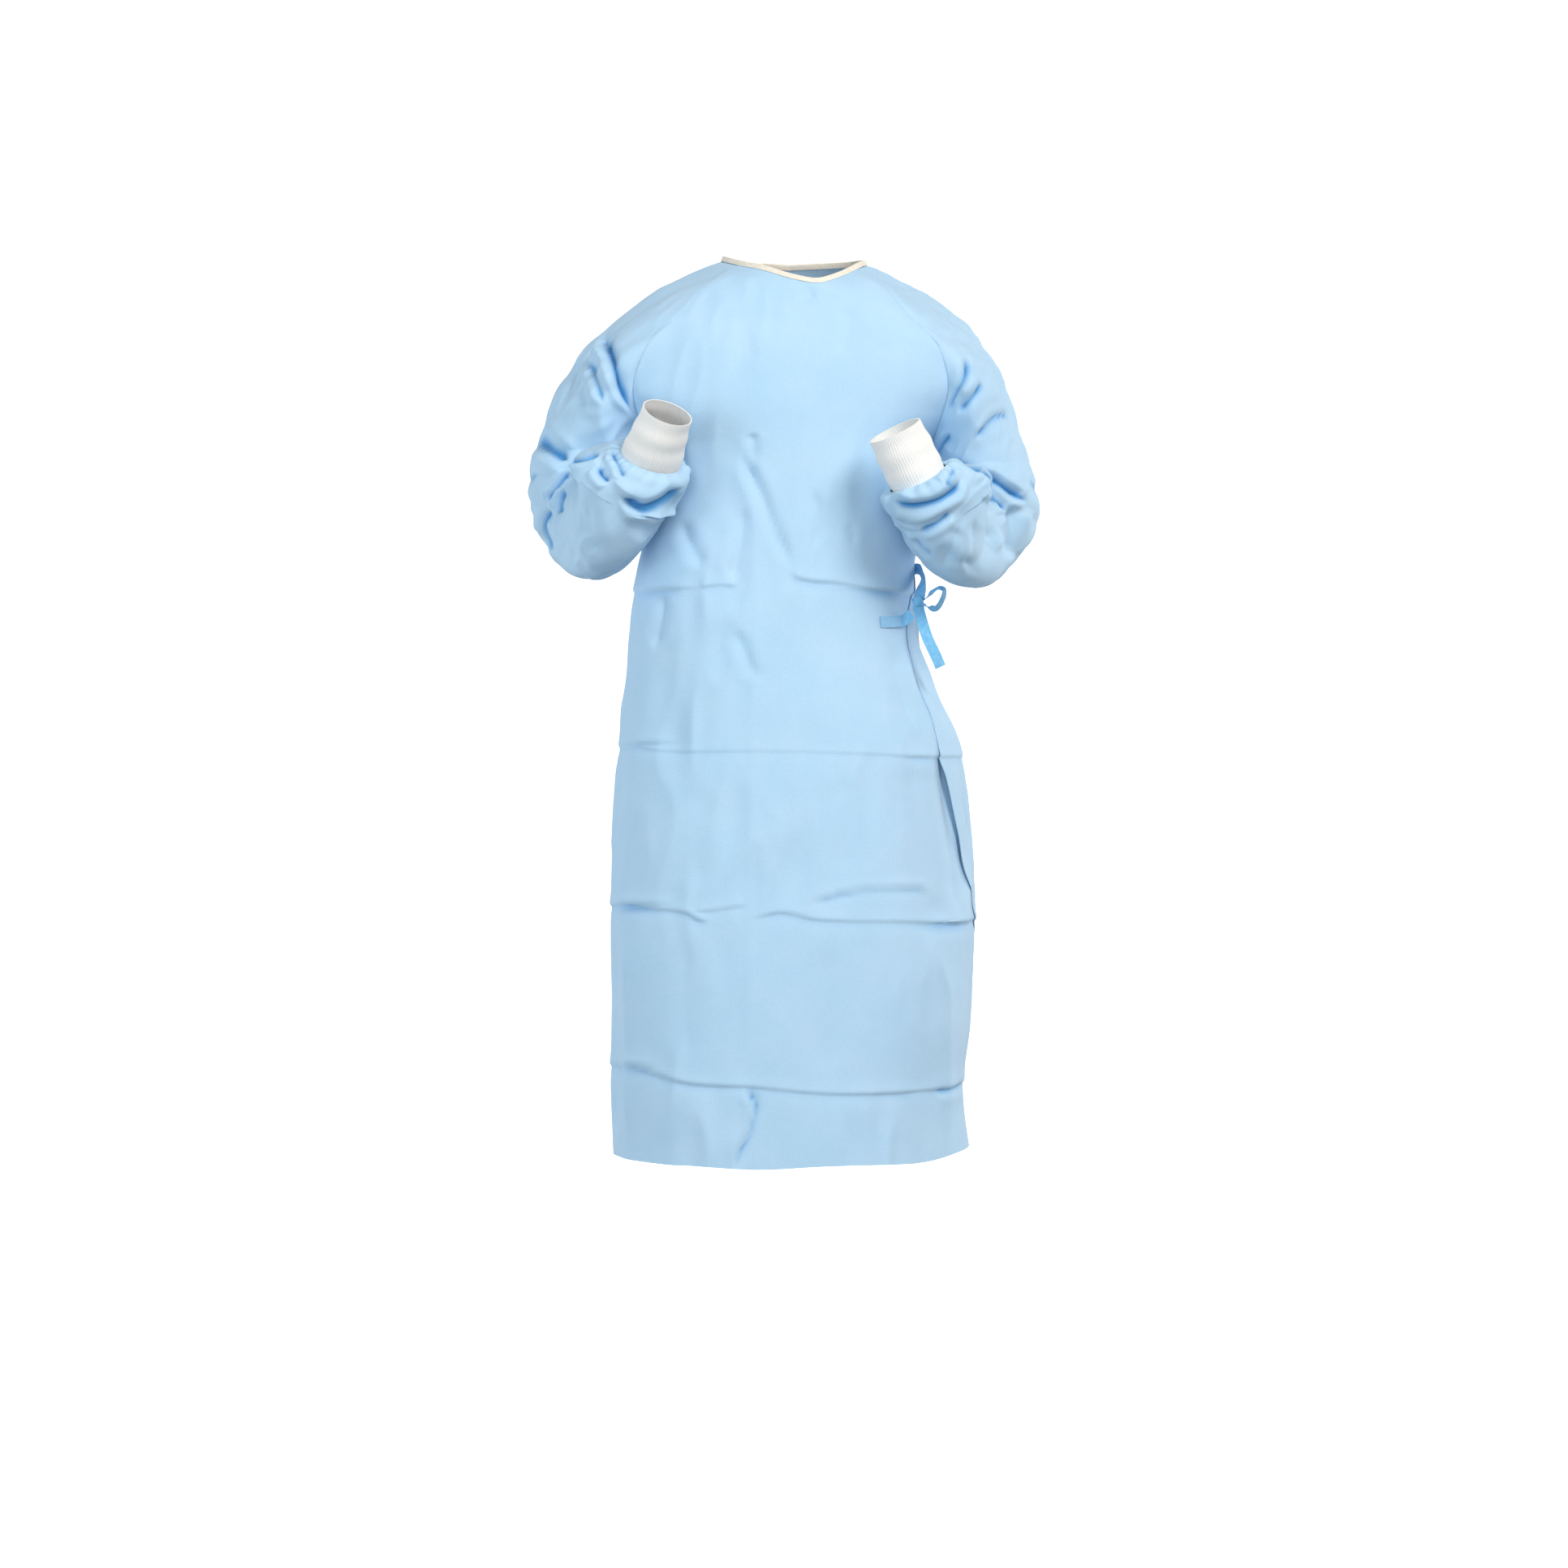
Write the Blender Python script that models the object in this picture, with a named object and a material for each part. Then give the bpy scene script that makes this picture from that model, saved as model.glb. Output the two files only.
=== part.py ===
"""A wrap-around surgical gown in the form it has when worn, with both forearms raised.

Metres, +Z up. The front faces -Y and +X is the wearer's left. The origin is midway
between the two shoulder points beside the neck.
"""
import math

import bpy
import numpy as np

# Thicknesses and gaps
CLOTH_WALL = 0.0016
KNIT_WALL = 0.0018
BINDING_WALL = 0.0024
TAPE_WALL = 0.0014
SEAM_PULL = 0.00018
SHARPEST_SEAM = 0.20
LEAST_MITRE = 0.65
ALIKE = 0.8
REST_GAP = 0.0010

# Main sizes
HEM_Z = -1.125
UNDERARM_Z = -0.242
BINDING_HEIGHT = 0.007
BINDING_LEAN = 0.35
BINDING_LIFT_TURN = 40.0
NECK_MIDDLE = (0.006, -0.008, 0.0)
CUFF_LENGTH = 0.066
TAPE_WIDTH = 0.014
FLAP_LIFT = 0.0050
FLAP_LIFT_TURN = 50.0

# Counts along each grid
SKIRT_ROWS = 24
TORSO_ROWS = 9
FRONT_COLUMNS = 26
OUTER_COLUMNS = 26
INNER_COLUMNS = 13
NECK_STEPS = 4
SHOULDER_ROWS = 7
ELBOW_ROWS = 12
FOREARM_ROWS = 8
CUFF_ROWS = 3
SHOULDER_GUIDES = 5
TAPE_STEPS = 10
LOOP_STEPS = 20
KNOT_RINGS = 7
KNOT_SIDES = 12
BINDING_LEFT_STEPS = 5
BINDING_RIGHT_STEPS = 7

# How far the hem rises round the wearer's left side, by degrees from the front centre
HEM_RISE = ((-180.0, 0.0), (35.0, 0.0), (62.0, 0.008), (90.0, 0.012), (125.0, 0.006), (180.0, 0.0))
HEM_RISE_POWER = 6

# Largest folds of the front, sleeves and skirt: a line in the front view, its half width and depth.
# A minus depth is a trough, a plus depth a ridge.
FOLD_COLUMNS = ("x1", "z1", "x2", "z2", "half_width", "depth")
FRONT_FOLDS = (
    (-0.236, -0.090, -0.216, -0.200, 0.015, -0.0050),
    (-0.268, -0.120, -0.246, -0.205, 0.015, -0.0035),
    (0.262, -0.190, 0.232, -0.245, 0.018, -0.0050),
    (-0.196, -0.830, -0.197, -1.125, 0.020, 0.0040),
    (0.190, -0.850, 0.194, -1.125, 0.020, 0.0035),
    (-0.160, -0.430, -0.150, -0.600, 0.022, -0.0035),
    (0.160, -0.660, 0.185, -0.820, 0.022, -0.0060),
)
BACK_FOLDS = (
    (-0.120, -0.420, -0.150, -0.900, 0.030, -0.0060),
    (0.060, -0.400, 0.100, -0.850, 0.030, -0.0055),
    (-0.020, -0.430, -0.035, -1.125, 0.032, 0.0060),
)

# How far a place must face forwards or back for a fold, and how folds fade in the last rows
FOLD_FACING = 0.15
FOLD_FACING_RANGE = 0.5
SLEEVE_FOLD_FADE = (0.6, 0.3, 0.0)
PANEL_FOLD_FADE = (0.5, 0.0)

# Neck angles, in degrees from the front centre, where the raglan seams meet the neckline
NECK_FRONT = 58.0
NECK_BACK = 122.0

# How square the gown's horizontal sections are: the power on sine and cosine
SIDE_POWER = 0.80
CHEST_POWER = 0.92
CHEST_POWER_FROM = 0.3
NECK_DRAW_POWER = 4

# Horizontal sections of the body below the underarm
BODY_COLUMNS = ("z", "centre", "half_width", "front", "side", "back")
BODY_SECTIONS = (
    (-1.1250, 0.003, 0.2245, -0.176, 0.000, 0.178),
    (-1.0504, -0.001, 0.2215, -0.175, 0.000, 0.177),
    (-0.9525, 0.003, 0.2260, -0.173, 0.000, 0.175),
    (-0.8290, 0.0035, 0.2290, -0.169, 0.000, 0.170),
    (-0.6950, 0.0005, 0.2210, -0.161, 0.000, 0.158),
    (-0.6126, -0.0025, 0.2135, -0.154, 0.000, 0.148),
    (-0.5405, -0.0140, 0.1925, -0.147, 0.000, 0.133),
    (-0.4684, -0.0215, 0.1795, -0.140, 0.000, 0.120),
    (-0.4066, -0.019, 0.1757, -0.135, 0.002, 0.112),
    (-0.3300, -0.008, 0.1730, -0.133, 0.004, 0.114),
    (-0.2420, 0.000, 0.1730, -0.134, 0.004, 0.118),
)

# Centre lines of the chest and back above the underarm, by share of the height
CENTRE_COLUMNS = ("share", "front_x", "front_y", "front_z", "back_x", "back_y", "back_z")
CENTRE_LINES = (
    (0.00, 0.000, -0.134, -0.242, 0.000, 0.118, -0.242),
    (0.25, 0.003, -0.134, -0.205, 0.000, 0.121, -0.200),
    (0.50, 0.008, -0.129, -0.148, 0.000, 0.118, -0.135),
    (0.75, 0.018, -0.115, -0.092, 0.000, 0.104, -0.065),
    (1.00, 0.035, -0.098, -0.040, 0.000, 0.076, 0.004),
)

# Raglan seams on the wearer's left, by share of the height; the right ones mirror them
RAGLAN_COLUMNS = ("share", "front_x", "front_y", "front_z", "back_x", "back_y", "back_z")
RAGLAN_SEAMS = (
    (0.00, 0.1730, 0.004, -0.242, 0.1730, 0.004, -0.242),
    (0.12, 0.1800, -0.036, -0.228, 0.1790, 0.042, -0.226),
    (0.28, 0.1900, -0.074, -0.202, 0.1850, 0.074, -0.192),
    (0.45, 0.1975, -0.098, -0.168, 0.1820, 0.094, -0.156),
    (0.62, 0.1860, -0.107, -0.122, 0.1620, 0.102, -0.110),
    (0.80, 0.1450, -0.099, -0.076, 0.1320, 0.092, -0.060),
    (0.92, 0.1140, -0.074, -0.035, 0.1060, 0.070, -0.020),
    (1.00, 0.0880, -0.047, -0.013, 0.0840, 0.046, 0.004),
)

# Where the sleeve's rings meet the raglan seams: share of the seam, turn round the ring in degrees
FRONT_TURNS = ((0.0, 270.0), (0.25, 212.0), (0.5, 172.0), (0.75, 138.0), (1.0, 108.0))
BACK_TURNS = ((0.0, -90.0), (0.25, -36.0), (0.5, 4.0), (0.75, 40.0), (1.0, 72.0))

# How far round each torso row runs before its edge, in degrees, by share of the height
ROW_TURN = ((0.0, 90.0), (0.15, 80.0), (0.4, 66.0), (0.7, 60.0), (1.0, 60.0))

# The neckline seen from above, by degrees from the front centre; plus is the wearer's left
NECK_COLUMNS = ("angle", "x", "y", "z")
NECKLINE = (
    (-180.0, 0.000, 0.076, 0.004),
    (-150.0, -0.044, 0.067, 0.006),
    (-122.0, -0.076, 0.044, 0.007),
    (-90.0, -0.085, 0.000, 0.003),
    (-58.0, -0.064, -0.050, -0.010),
    (-30.0, -0.030, -0.082, -0.022),
    (0.0, 0.007, -0.096, -0.035),
    (22.0, 0.035, -0.099, -0.040),
    (40.0, 0.061, -0.084, -0.031),
    (58.0, 0.088, -0.047, -0.013),
    (90.0, 0.099, 0.000, -0.002),
    (122.0, 0.084, 0.046, 0.004),
    (150.0, 0.046, 0.068, 0.005),
    (180.0, 0.000, 0.076, 0.004),
)

# Free edge of the outer back panel in skirt and torso, in degrees from the front centre
FLAP_EDGE = (
    (-1.125, 112.0),
    (-0.950, 100.0),
    (-0.850, 86.0),
    (-0.800, 77.0),
    (-0.767, 72.0),
    (-0.705, 65.0),
    (-0.654, 60.0),
    (-0.627, 57.0),
    (-0.542, 64.0),
    (-0.455, 68.0),
    (-0.400, 88.0),
    (-0.340, 112.0),
    (-0.242, 128.0),
)
FLAP_TORSO_EDGE = ((0.0, 128.0), (0.4, 143.0), (1.0, 158.0))
INNER_EDGE = ((-1.125, -150.0), (-0.242, -150.0))
INNER_TORSO_EDGE = ((0.0, -150.0), (1.0, -158.0))

# Sleeves. The top line of each runs from the neck over the shoulder to the elbow.
LEFT_TOP_LINE = (
    (0.150, 0.000, -0.027),
    (0.212, 0.000, -0.065),
    (0.258, -0.002, -0.120),
    (0.283, -0.012, -0.185),
)
RIGHT_TOP_LINE = (
    (-0.140, 0.000, -0.019),
    (-0.208, 0.000, -0.063),
    (-0.264, -0.004, -0.116),
    (-0.299, -0.015, -0.176),
)
FRONT_FULLNESS = np.array([0.024, -0.013, 0.002])
BACK_FULLNESS = np.array([0.008, 0.014, 0.000])

# Elbow rings turn about a hinge line through the crook of the arm.
ELBOW_START = 15.0
ELBOW_COLUMNS = ("turn", "reach", "outward", "inward", "through")
LEFT_ELBOW = {
    "hinge": (0.2050, -0.084, -0.2640),
    "across": (0.880, -0.350, 0.200),
    "start": (0.300, 0.950, -0.020),
    "rings": (
        (0.0, 0.082, 0.069, 0.046, 0.074),
        (35.0, 0.086, 0.074, 0.046, 0.078),
        (70.0, 0.081, 0.044, 0.052, 0.074),
        (105.0, 0.080, 0.038, 0.062, 0.074),
        (142.0, 0.074, 0.056, 0.066, 0.066),
    ),
}
RIGHT_ELBOW = {
    "hinge": (-0.2150, -0.076, -0.2500),
    "across": (-0.894, -0.340, 0.287),
    "start": (-0.363, 0.931, -0.031),
    "rings": (
        (0.0, 0.082, 0.080, 0.046, 0.074),
        (35.0, 0.086, 0.073, 0.046, 0.078),
        (70.0, 0.083, 0.043, 0.052, 0.078),
        (105.0, 0.082, 0.038, 0.062, 0.075),
        (142.0, 0.074, 0.058, 0.064, 0.066),
    ),
}

# Forearm rings run from the elbow's last ring to the cuff seam; the cuff goes on to the wrist.
FOREARM_COLUMNS = ("share", "half_across", "half_through")
LEFT_FOREARM = (
    (0.00, 0.066, 0.066),
    (0.30, 0.062, 0.062),
    (0.60, 0.058, 0.056),
    (0.82, 0.052, 0.048),
    (0.94, 0.044, 0.040),
    (1.00, 0.0375, 0.033),
)
RIGHT_FOREARM = (
    (0.00, 0.070, 0.066),
    (0.30, 0.066, 0.062),
    (0.60, 0.060, 0.056),
    (0.82, 0.053, 0.048),
    (0.94, 0.044, 0.040),
    (1.00, 0.0375, 0.033),
)
LEFT_CUFF = {"seam": (0.157, -0.172, -0.289), "wrist": (0.128, -0.190, -0.233)}
RIGHT_CUFF = {"seam": (-0.168, -0.166, -0.264), "wrist": (-0.147, -0.200, -0.214)}
WRIST_HALF = (0.0320, 0.0265)

# Tapes: centre points of each stretch, and the knot they meet in
KNOT = (0.1610, -0.0780, -0.4335)
KNOT_HALF = (0.0065, 0.0060, 0.0095)
KNOT_BULGE = 0.08
KNOT_LOBES = 3
FRONT_TIE_START = (0.1130, -0.4600)
FRONT_TIE_LENGTH = 0.031
FRONT_TIE_RISE = 0.004
FRONT_TIE_STAND_OFF = 0.004
FRONT_TIE_POINTS = 5
FRONT_TIE_END = (-0.0090, -0.0060, -0.0150)
BACK_TIE_Z = -0.3850
BACK_TIE_TURNS = (114.0, 106.0, 98.0)
BACK_TIE_FREE_PATH = (
    (0.1670, 0.0000, -0.3890),
    (0.1675, -0.0300, -0.3990),
    (0.1655, -0.0550, -0.4140),
    (0.1622, -0.0704, -0.4305),
)
BOW_LOOP_PATH = (
    (0.1682, -0.0790, -0.4310),
    (0.1765, -0.0820, -0.4225),
    (0.1860, -0.0840, -0.4160),
    (0.1930, -0.0830, -0.4190),
    (0.1910, -0.0800, -0.4310),
    (0.1840, -0.0770, -0.4410),
    (0.1760, -0.0760, -0.4410),
    (0.1688, -0.0765, -0.4372),
)
TAIL_PATH = (
    (0.1618, -0.0800, -0.4433),
    (0.1660, -0.0920, -0.4610),
    (0.1720, -0.0980, -0.4800),
    (0.1820, -0.0970, -0.5010),
    (0.1880, -0.0940, -0.5150),
)

# The patch that closes the back at the neck: shares of the back's height and of its half width
FASTENER_FOOT = 0.80
FASTENER_TOP = 0.88
FASTENER_HALF_WIDTH = 0.10
FASTENER_ROWS = 3
FASTENER_COLUMNS = 5

# Which way each tape's width points at its two ends
FRONT_TIE_WAYS = ((0.0, 0.0, 1.0), (-0.1, 0.2, 1.0))
BACK_TIE_WAYS = ((0.0, 0.0, 1.0), (0.5, -0.2, 0.8))
BOW_LOOP_WAYS = ((0.2, 1.0, 0.2), (0.2, 1.0, -0.1))
TAIL_WAYS = ((1.0, 0.1, 0.2), (1.0, 0.2, 0.7))

ROUGHNESS = 0.85
COLOURS = {
    "gown_cloth": (0.44, 0.68, 0.87, 1.0),
    "knit_cuff": (0.80, 0.79, 0.77, 1.0),
    "neck_binding": (0.90, 0.87, 0.66, 1.0),
    "tie_tape": (0.20, 0.50, 0.80, 1.0),
    "fastener": (0.75, 0.80, 0.85, 1.0),
}


def eased(knots, values, at):
    """Values between the knots, smooth and with no overshoot."""
    knots = np.asarray(knots, float)
    values = np.asarray(values, float)
    at = np.clip(np.asarray(at, float), knots[0], knots[-1])
    step = np.diff(knots)
    slope = np.diff(values) / step
    tangent = np.zeros(len(knots))
    tangent[0] = slope[0]
    tangent[-1] = slope[-1]
    for i in range(1, len(knots) - 1):
        if slope[i - 1] * slope[i] > 0:
            before = 2 * step[i] + step[i - 1]
            after = step[i] + 2 * step[i - 1]
            tangent[i] = (before + after) / (before / slope[i - 1] + after / slope[i])
    i = np.clip(np.searchsorted(knots, at, side="right") - 1, 0, len(step) - 1)
    t = (at - knots[i]) / step[i]
    return (
        values[i] * (2 * t**3 - 3 * t**2 + 1)
        + values[i + 1] * (3 * t**2 - 2 * t**3)
        + tangent[i] * step[i] * (t**3 - 2 * t**2 + t)
        + tangent[i + 1] * step[i] * (t**3 - t**2)
    )


def column(table, names, name):
    return [row[names.index(name)] for row in table]


def from_table(table, names, key, wanted, at):
    """Points whose coordinates come from the wanted columns."""
    knots = column(table, names, key)
    return np.stack([eased(knots, column(table, names, w), at) for w in wanted], axis=-1)


def pair_table(table, at):
    return eased([row[0] for row in table], [row[1] for row in table], at)


def smooth_path(points, at):
    """A rounded line through the points; at runs from 0 to 1 along its length."""
    points = np.asarray(points, float)
    length = np.concatenate([[0], np.cumsum(np.linalg.norm(np.diff(points, axis=0), axis=1))])
    length /= length[-1]
    padded = np.vstack([2 * points[0] - points[1], points, 2 * points[-1] - points[-2]])
    knots = np.concatenate([[length[0] - length[1]], length, [2 - length[-2]]])
    at = np.clip(np.asarray(at, float), 0, 1)
    i = np.clip(np.searchsorted(length, at, side="right") - 1, 0, len(points) - 2)
    span = (length[i + 1] - length[i])[..., None]
    t = (at[..., None] - length[i][..., None]) / span
    start = (padded[i + 2] - padded[i]) / (knots[i + 2] - knots[i])[..., None] * span
    end = (padded[i + 3] - padded[i + 1]) / (knots[i + 3] - knots[i + 1])[..., None] * span
    return (
        points[i] * (2 * t**3 - 3 * t**2 + 1)
        + points[i + 1] * (3 * t**2 - 2 * t**3)
        + start * (t**3 - 2 * t**2 + t)
        + end * (t**3 - t**2)
    )


def unit(vectors):
    vectors = np.asarray(vectors, float)
    size = np.linalg.norm(vectors, axis=-1, keepdims=True)
    return vectors / np.maximum(size, 1e-12)


def powered(value, power):
    return np.sign(value) * np.abs(value) ** power


def even(start, end, count):
    return np.linspace(start, end, count)


def within_turn(angles):
    """The same angles brought between -180 and 180 degrees."""
    return np.where(angles < -180, angles + 360, np.where(angles > 180, angles - 360, angles))


def softened(share):
    share = np.clip(share, 0, 1)
    return share * share * (3 - 2 * share)


def body_row(z, angles):
    """Points of one horizontal section below the underarm."""
    centre, half, front, side, back = from_table(
        BODY_SECTIONS, BODY_COLUMNS, "z", BODY_COLUMNS[1:], z
    )
    turn = np.radians(angles)
    reach = np.abs(np.cos(turn)) ** SIDE_POWER
    depth = np.where(np.cos(turn) > 0, front - side, back - side)
    x = centre + half * powered(np.sin(turn), SIDE_POWER)
    y = side + depth * reach
    level = (UNDERARM_Z - z) / (UNDERARM_Z - HEM_Z)
    rise = pair_table(HEM_RISE, within_turn(angles))
    return np.stack([x, y, z + rise * level**HEM_RISE_POWER], axis=-1)


def neck_point(angles):
    return from_table(NECKLINE, NECK_COLUMNS, "angle", ("x", "y", "z"), angles)


def underarm_point(side):
    z = UNDERARM_Z
    return body_row(z, np.array([90.0 * side]))[0]


def raglan(face, side, share):
    """A raglan seam. face is front or back; side is 1 for the wearer's left, -1 for the right."""
    share = np.asarray(share, float)
    wanted = tuple(f"{face}_{axis}" for axis in "xyz")
    points = from_table(RAGLAN_SEAMS, RAGLAN_COLUMNS, "share", wanted, share)
    points = points * np.array([side, 1.0, 1.0])
    angle = NECK_FRONT if face == "front" else NECK_BACK
    top = neck_point(np.array([side * angle]))[0]
    named_top = np.array([RAGLAN_SEAMS[-1][RAGLAN_COLUMNS.index(w)] for w in wanted])
    named_top = named_top * np.array([side, 1.0, 1.0])
    foot = underarm_point(side)
    named_foot = np.array([RAGLAN_SEAMS[0][RAGLAN_COLUMNS.index(w)] for w in wanted])
    named_foot = named_foot * np.array([side, 1.0, 1.0])
    blend = share[..., None]
    return points + (top - named_top) * blend**2 + (foot - named_foot) * (1 - blend) ** 2


def torso_shape(face, share, across, power):
    """The plain shape of a row above the underarm, before it is drawn to the neckline."""
    left = raglan(face, 1, np.array([share]))[0]
    right = raglan(face, -1, np.array([share]))[0]
    wanted = tuple(f"{face}_{axis}" for axis in "xyz")
    middle = from_table(CENTRE_LINES, CENTRE_COLUMNS, "share", wanted, share)
    turn_end = math.radians(float(pair_table(ROW_TURN, share)))
    turn = across * turn_end
    outward = np.abs(np.sin(turn)) ** power / math.sin(turn_end) ** power
    edge_reach = max(math.cos(turn_end), 0.0) ** power
    inward = (np.abs(np.cos(turn)) ** power - edge_reach) / (1 - edge_reach)
    edge = np.where((across > 0)[:, None], left, right)
    x = middle[0] + (edge[:, 0] - middle[0]) * outward
    y = edge[:, 1] + (middle[1] - edge[:, 1]) * inward
    z = edge[:, 2] + (middle[2] - edge[:, 2]) * inward
    return np.stack([x, y, z], axis=-1)


def back_turn(across, reach):
    """Angle from the front centre of a place on the back, whose seam lies at the reach from its middle."""
    return np.where(across > 0, 180.0, -180.0) - across * reach


def torso_row(face, share, across):
    """Points of one row above the underarm. across runs from -1 at the right seam to 1 at the left."""
    if share == 0:
        return body_row(UNDERARM_Z, across * 90.0 if face == "front" else back_turn(across, 90.0))
    if face == "front":
        neck = neck_point(across * NECK_FRONT)
    else:
        neck = neck_point(back_turn(across, 180.0 - NECK_BACK))
    if share == 1:
        return neck
    power = SIDE_POWER + (CHEST_POWER - SIDE_POWER) * min(1.0, share / CHEST_POWER_FROM)
    row = torso_shape(face, share, across, power)
    return row + (neck - torso_shape(face, 1.0, across, CHEST_POWER)) * share**NECK_DRAW_POWER


def skirt_levels():
    return even(HEM_Z, UNDERARM_Z, SKIRT_ROWS + 1)


def torso_shares():
    return even(0.0, 1.0, TORSO_ROWS + 1)


def front_grid():
    across = even(-1, 1, FRONT_COLUMNS + 1)
    rows = [body_row(z, across * 90.0) for z in skirt_levels()]
    rows += [torso_row("front", share, across) for share in torso_shares()[1:]]
    return np.array(rows)


def outer_grid():
    rows = []
    for z in skirt_levels():
        edge = float(pair_table(FLAP_EDGE, z))
        angles = even(-90.0, edge - 360.0, OUTER_COLUMNS + 1)
        row = body_row(z, angles)
        rows.append(row + lift(row, angles))
    for share in torso_shares()[1:]:
        edge = float(pair_table(FLAP_TORSO_EDGE, share))
        angles = even(-90.0, edge - 360.0, OUTER_COLUMNS + 1)
        across = (-180 - angles) / 90
        row = torso_row("back", share, across)
        rows.append(row + lift(row, angles))
    return np.array(rows)


def lift(row, angles):
    """How far the outer back panel stands off the layer under it."""
    share = softened((-90.0 - angles) / FLAP_LIFT_TURN)
    tangent = np.gradient(row, axis=0)
    outward = unit(np.stack([tangent[:, 1], -tangent[:, 0], 0 * tangent[:, 0]], axis=-1))
    centre = row.mean(axis=0)
    if ((row - centre) * outward).sum() < 0:
        outward = -outward
    return outward * (FLAP_LIFT * share)[:, None]


def inner_grid():
    rows = []
    for z in skirt_levels():
        edge = float(pair_table(INNER_EDGE, z))
        angles = even(edge + 360.0, 90.0, INNER_COLUMNS + 1)
        rows.append(body_row(z, angles))
    for share in torso_shares()[1:]:
        edge = float(pair_table(INNER_TORSO_EDGE, share))
        angles = even(edge + 360.0, 90.0, INNER_COLUMNS + 1)
        rows.append(torso_row("back", share, (180 - angles) / 90))
    return np.array(rows)


def seam_loop(side):
    """The sleeve's first ring: up the front raglan seam, along the neck and down the back seam."""
    shares = torso_shares()
    front = raglan("front", side, shares)
    neck = neck_point(side * even(NECK_FRONT, NECK_BACK, NECK_STEPS + 1))
    back = raglan("back", side, shares[::-1])
    return np.vstack([front, neck[1:], back[1:-1]])


def ring_turns():
    """The turn of each sleeve column: under at 270, front at 180, top at 90, back at 0."""
    shares = torso_shares()
    front = pair_table(FRONT_TURNS, shares)
    neck = even(FRONT_TURNS[-1][1], BACK_TURNS[-1][1], NECK_STEPS + 1)
    back = pair_table(BACK_TURNS, shares)[::-1]
    return np.radians(np.concatenate([front, neck[1:], back[1:-1]]))


def shoulder_ring(seam, last, top_line, turns, share):
    """A ring part of the way from the seams to the elbow, drawn up to the top line."""
    ring = seam * (1 - share) + last * share
    over = np.clip(np.cos(turns - math.pi / 2), 0, 1) ** 2
    top_index = int(np.argmin(np.abs(turns - math.pi / 2)))
    tops = [seam[top_index]] + [np.asarray(p, float) for p in top_line] + [last[top_index]]
    top = smooth_path(tops, np.array([share]))[0]
    ring = ring + over[:, None] * (top - ring[top_index])
    side = np.array([math.copysign(1.0, last[top_index][0]), 1.0, 1.0])
    swell = math.sin(math.pi * share)
    at_front = np.clip(-np.cos(turns), 0, 1)[:, None] ** 2 * swell
    at_back = np.clip(np.cos(turns), 0, 1)[:, None] ** 2 * swell
    return ring + side * (FRONT_FULLNESS * at_front + BACK_FULLNESS * at_back)


def elbow_frame(elbow, turn):
    """Direction from the hinge through the ring, after turning about the hinge line."""
    across = unit(elbow["across"])
    start = np.asarray(elbow["start"], float)
    start = unit(start - across * np.dot(start, across))
    down = np.cross(across, start)
    if down[2] > 0:
        down = -down
    return across, start * math.cos(turn) + down * math.sin(turn)


def elbow_ring(elbow, turn, turns):
    reach, outward, inward, through = from_table(
        elbow["rings"], ELBOW_COLUMNS, "turn", ELBOW_COLUMNS[1:], turn
    )
    across, out = elbow_frame(elbow, math.radians(turn))
    centre = np.asarray(elbow["hinge"], float) + out * reach
    cos = np.cos(turns)
    sin = np.sin(turns)
    wide = np.where(sin > 0, outward, inward)
    return centre + out * (through * cos)[:, None] + across * (wide * sin)[:, None]


def elbow_end(elbow):
    last = elbow["rings"][-1]
    across, out = elbow_frame(elbow, math.radians(last[0]))
    shift = (last[2] - last[3]) / 2
    return np.asarray(elbow["hinge"], float) + out * last[1] + across * shift, across, out


def cuff_frame(cuff, elbow):
    """Axis of the cuff, and its across and out directions."""
    axis = unit(np.subtract(cuff["wrist"], cuff["seam"]))
    across, out = elbow_end(elbow)[1:]
    across = unit(across - axis * np.dot(across, axis))
    out_now = np.cross(axis, across)
    if np.dot(out_now, out) < 0:
        out_now = -out_now
    return axis, across, out_now


def forearm_rings(elbow, forearm, cuff, turns, shares):
    centre, across, out = elbow_end(elbow)
    axis, cuff_across, cuff_out = cuff_frame(cuff, elbow)
    start_way = np.cross(across, out)
    if start_way[2] < 0:
        start_way = -start_way
    seam = np.asarray(cuff["seam"], float)
    reach = np.linalg.norm(seam - centre)
    rings = []
    for share in shares:
        t = share
        middle = (
            centre * (2 * t**3 - 3 * t**2 + 1)
            + seam * (3 * t**2 - 2 * t**3)
            + start_way * reach * (t**3 - 2 * t**2 + t)
            + axis * reach * (t**3 - t**2)
        )
        wide, deep = from_table(forearm, FOREARM_COLUMNS, "share", FOREARM_COLUMNS[1:], share)
        side_way = unit(across * (1 - t) + cuff_across * t)
        out_way = unit(out * (1 - t) + cuff_out * t)
        cos = np.cos(turns)[:, None]
        sin = np.sin(turns)[:, None]
        rings.append(middle + out_way * deep * cos + side_way * wide * sin)
    return rings


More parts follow.
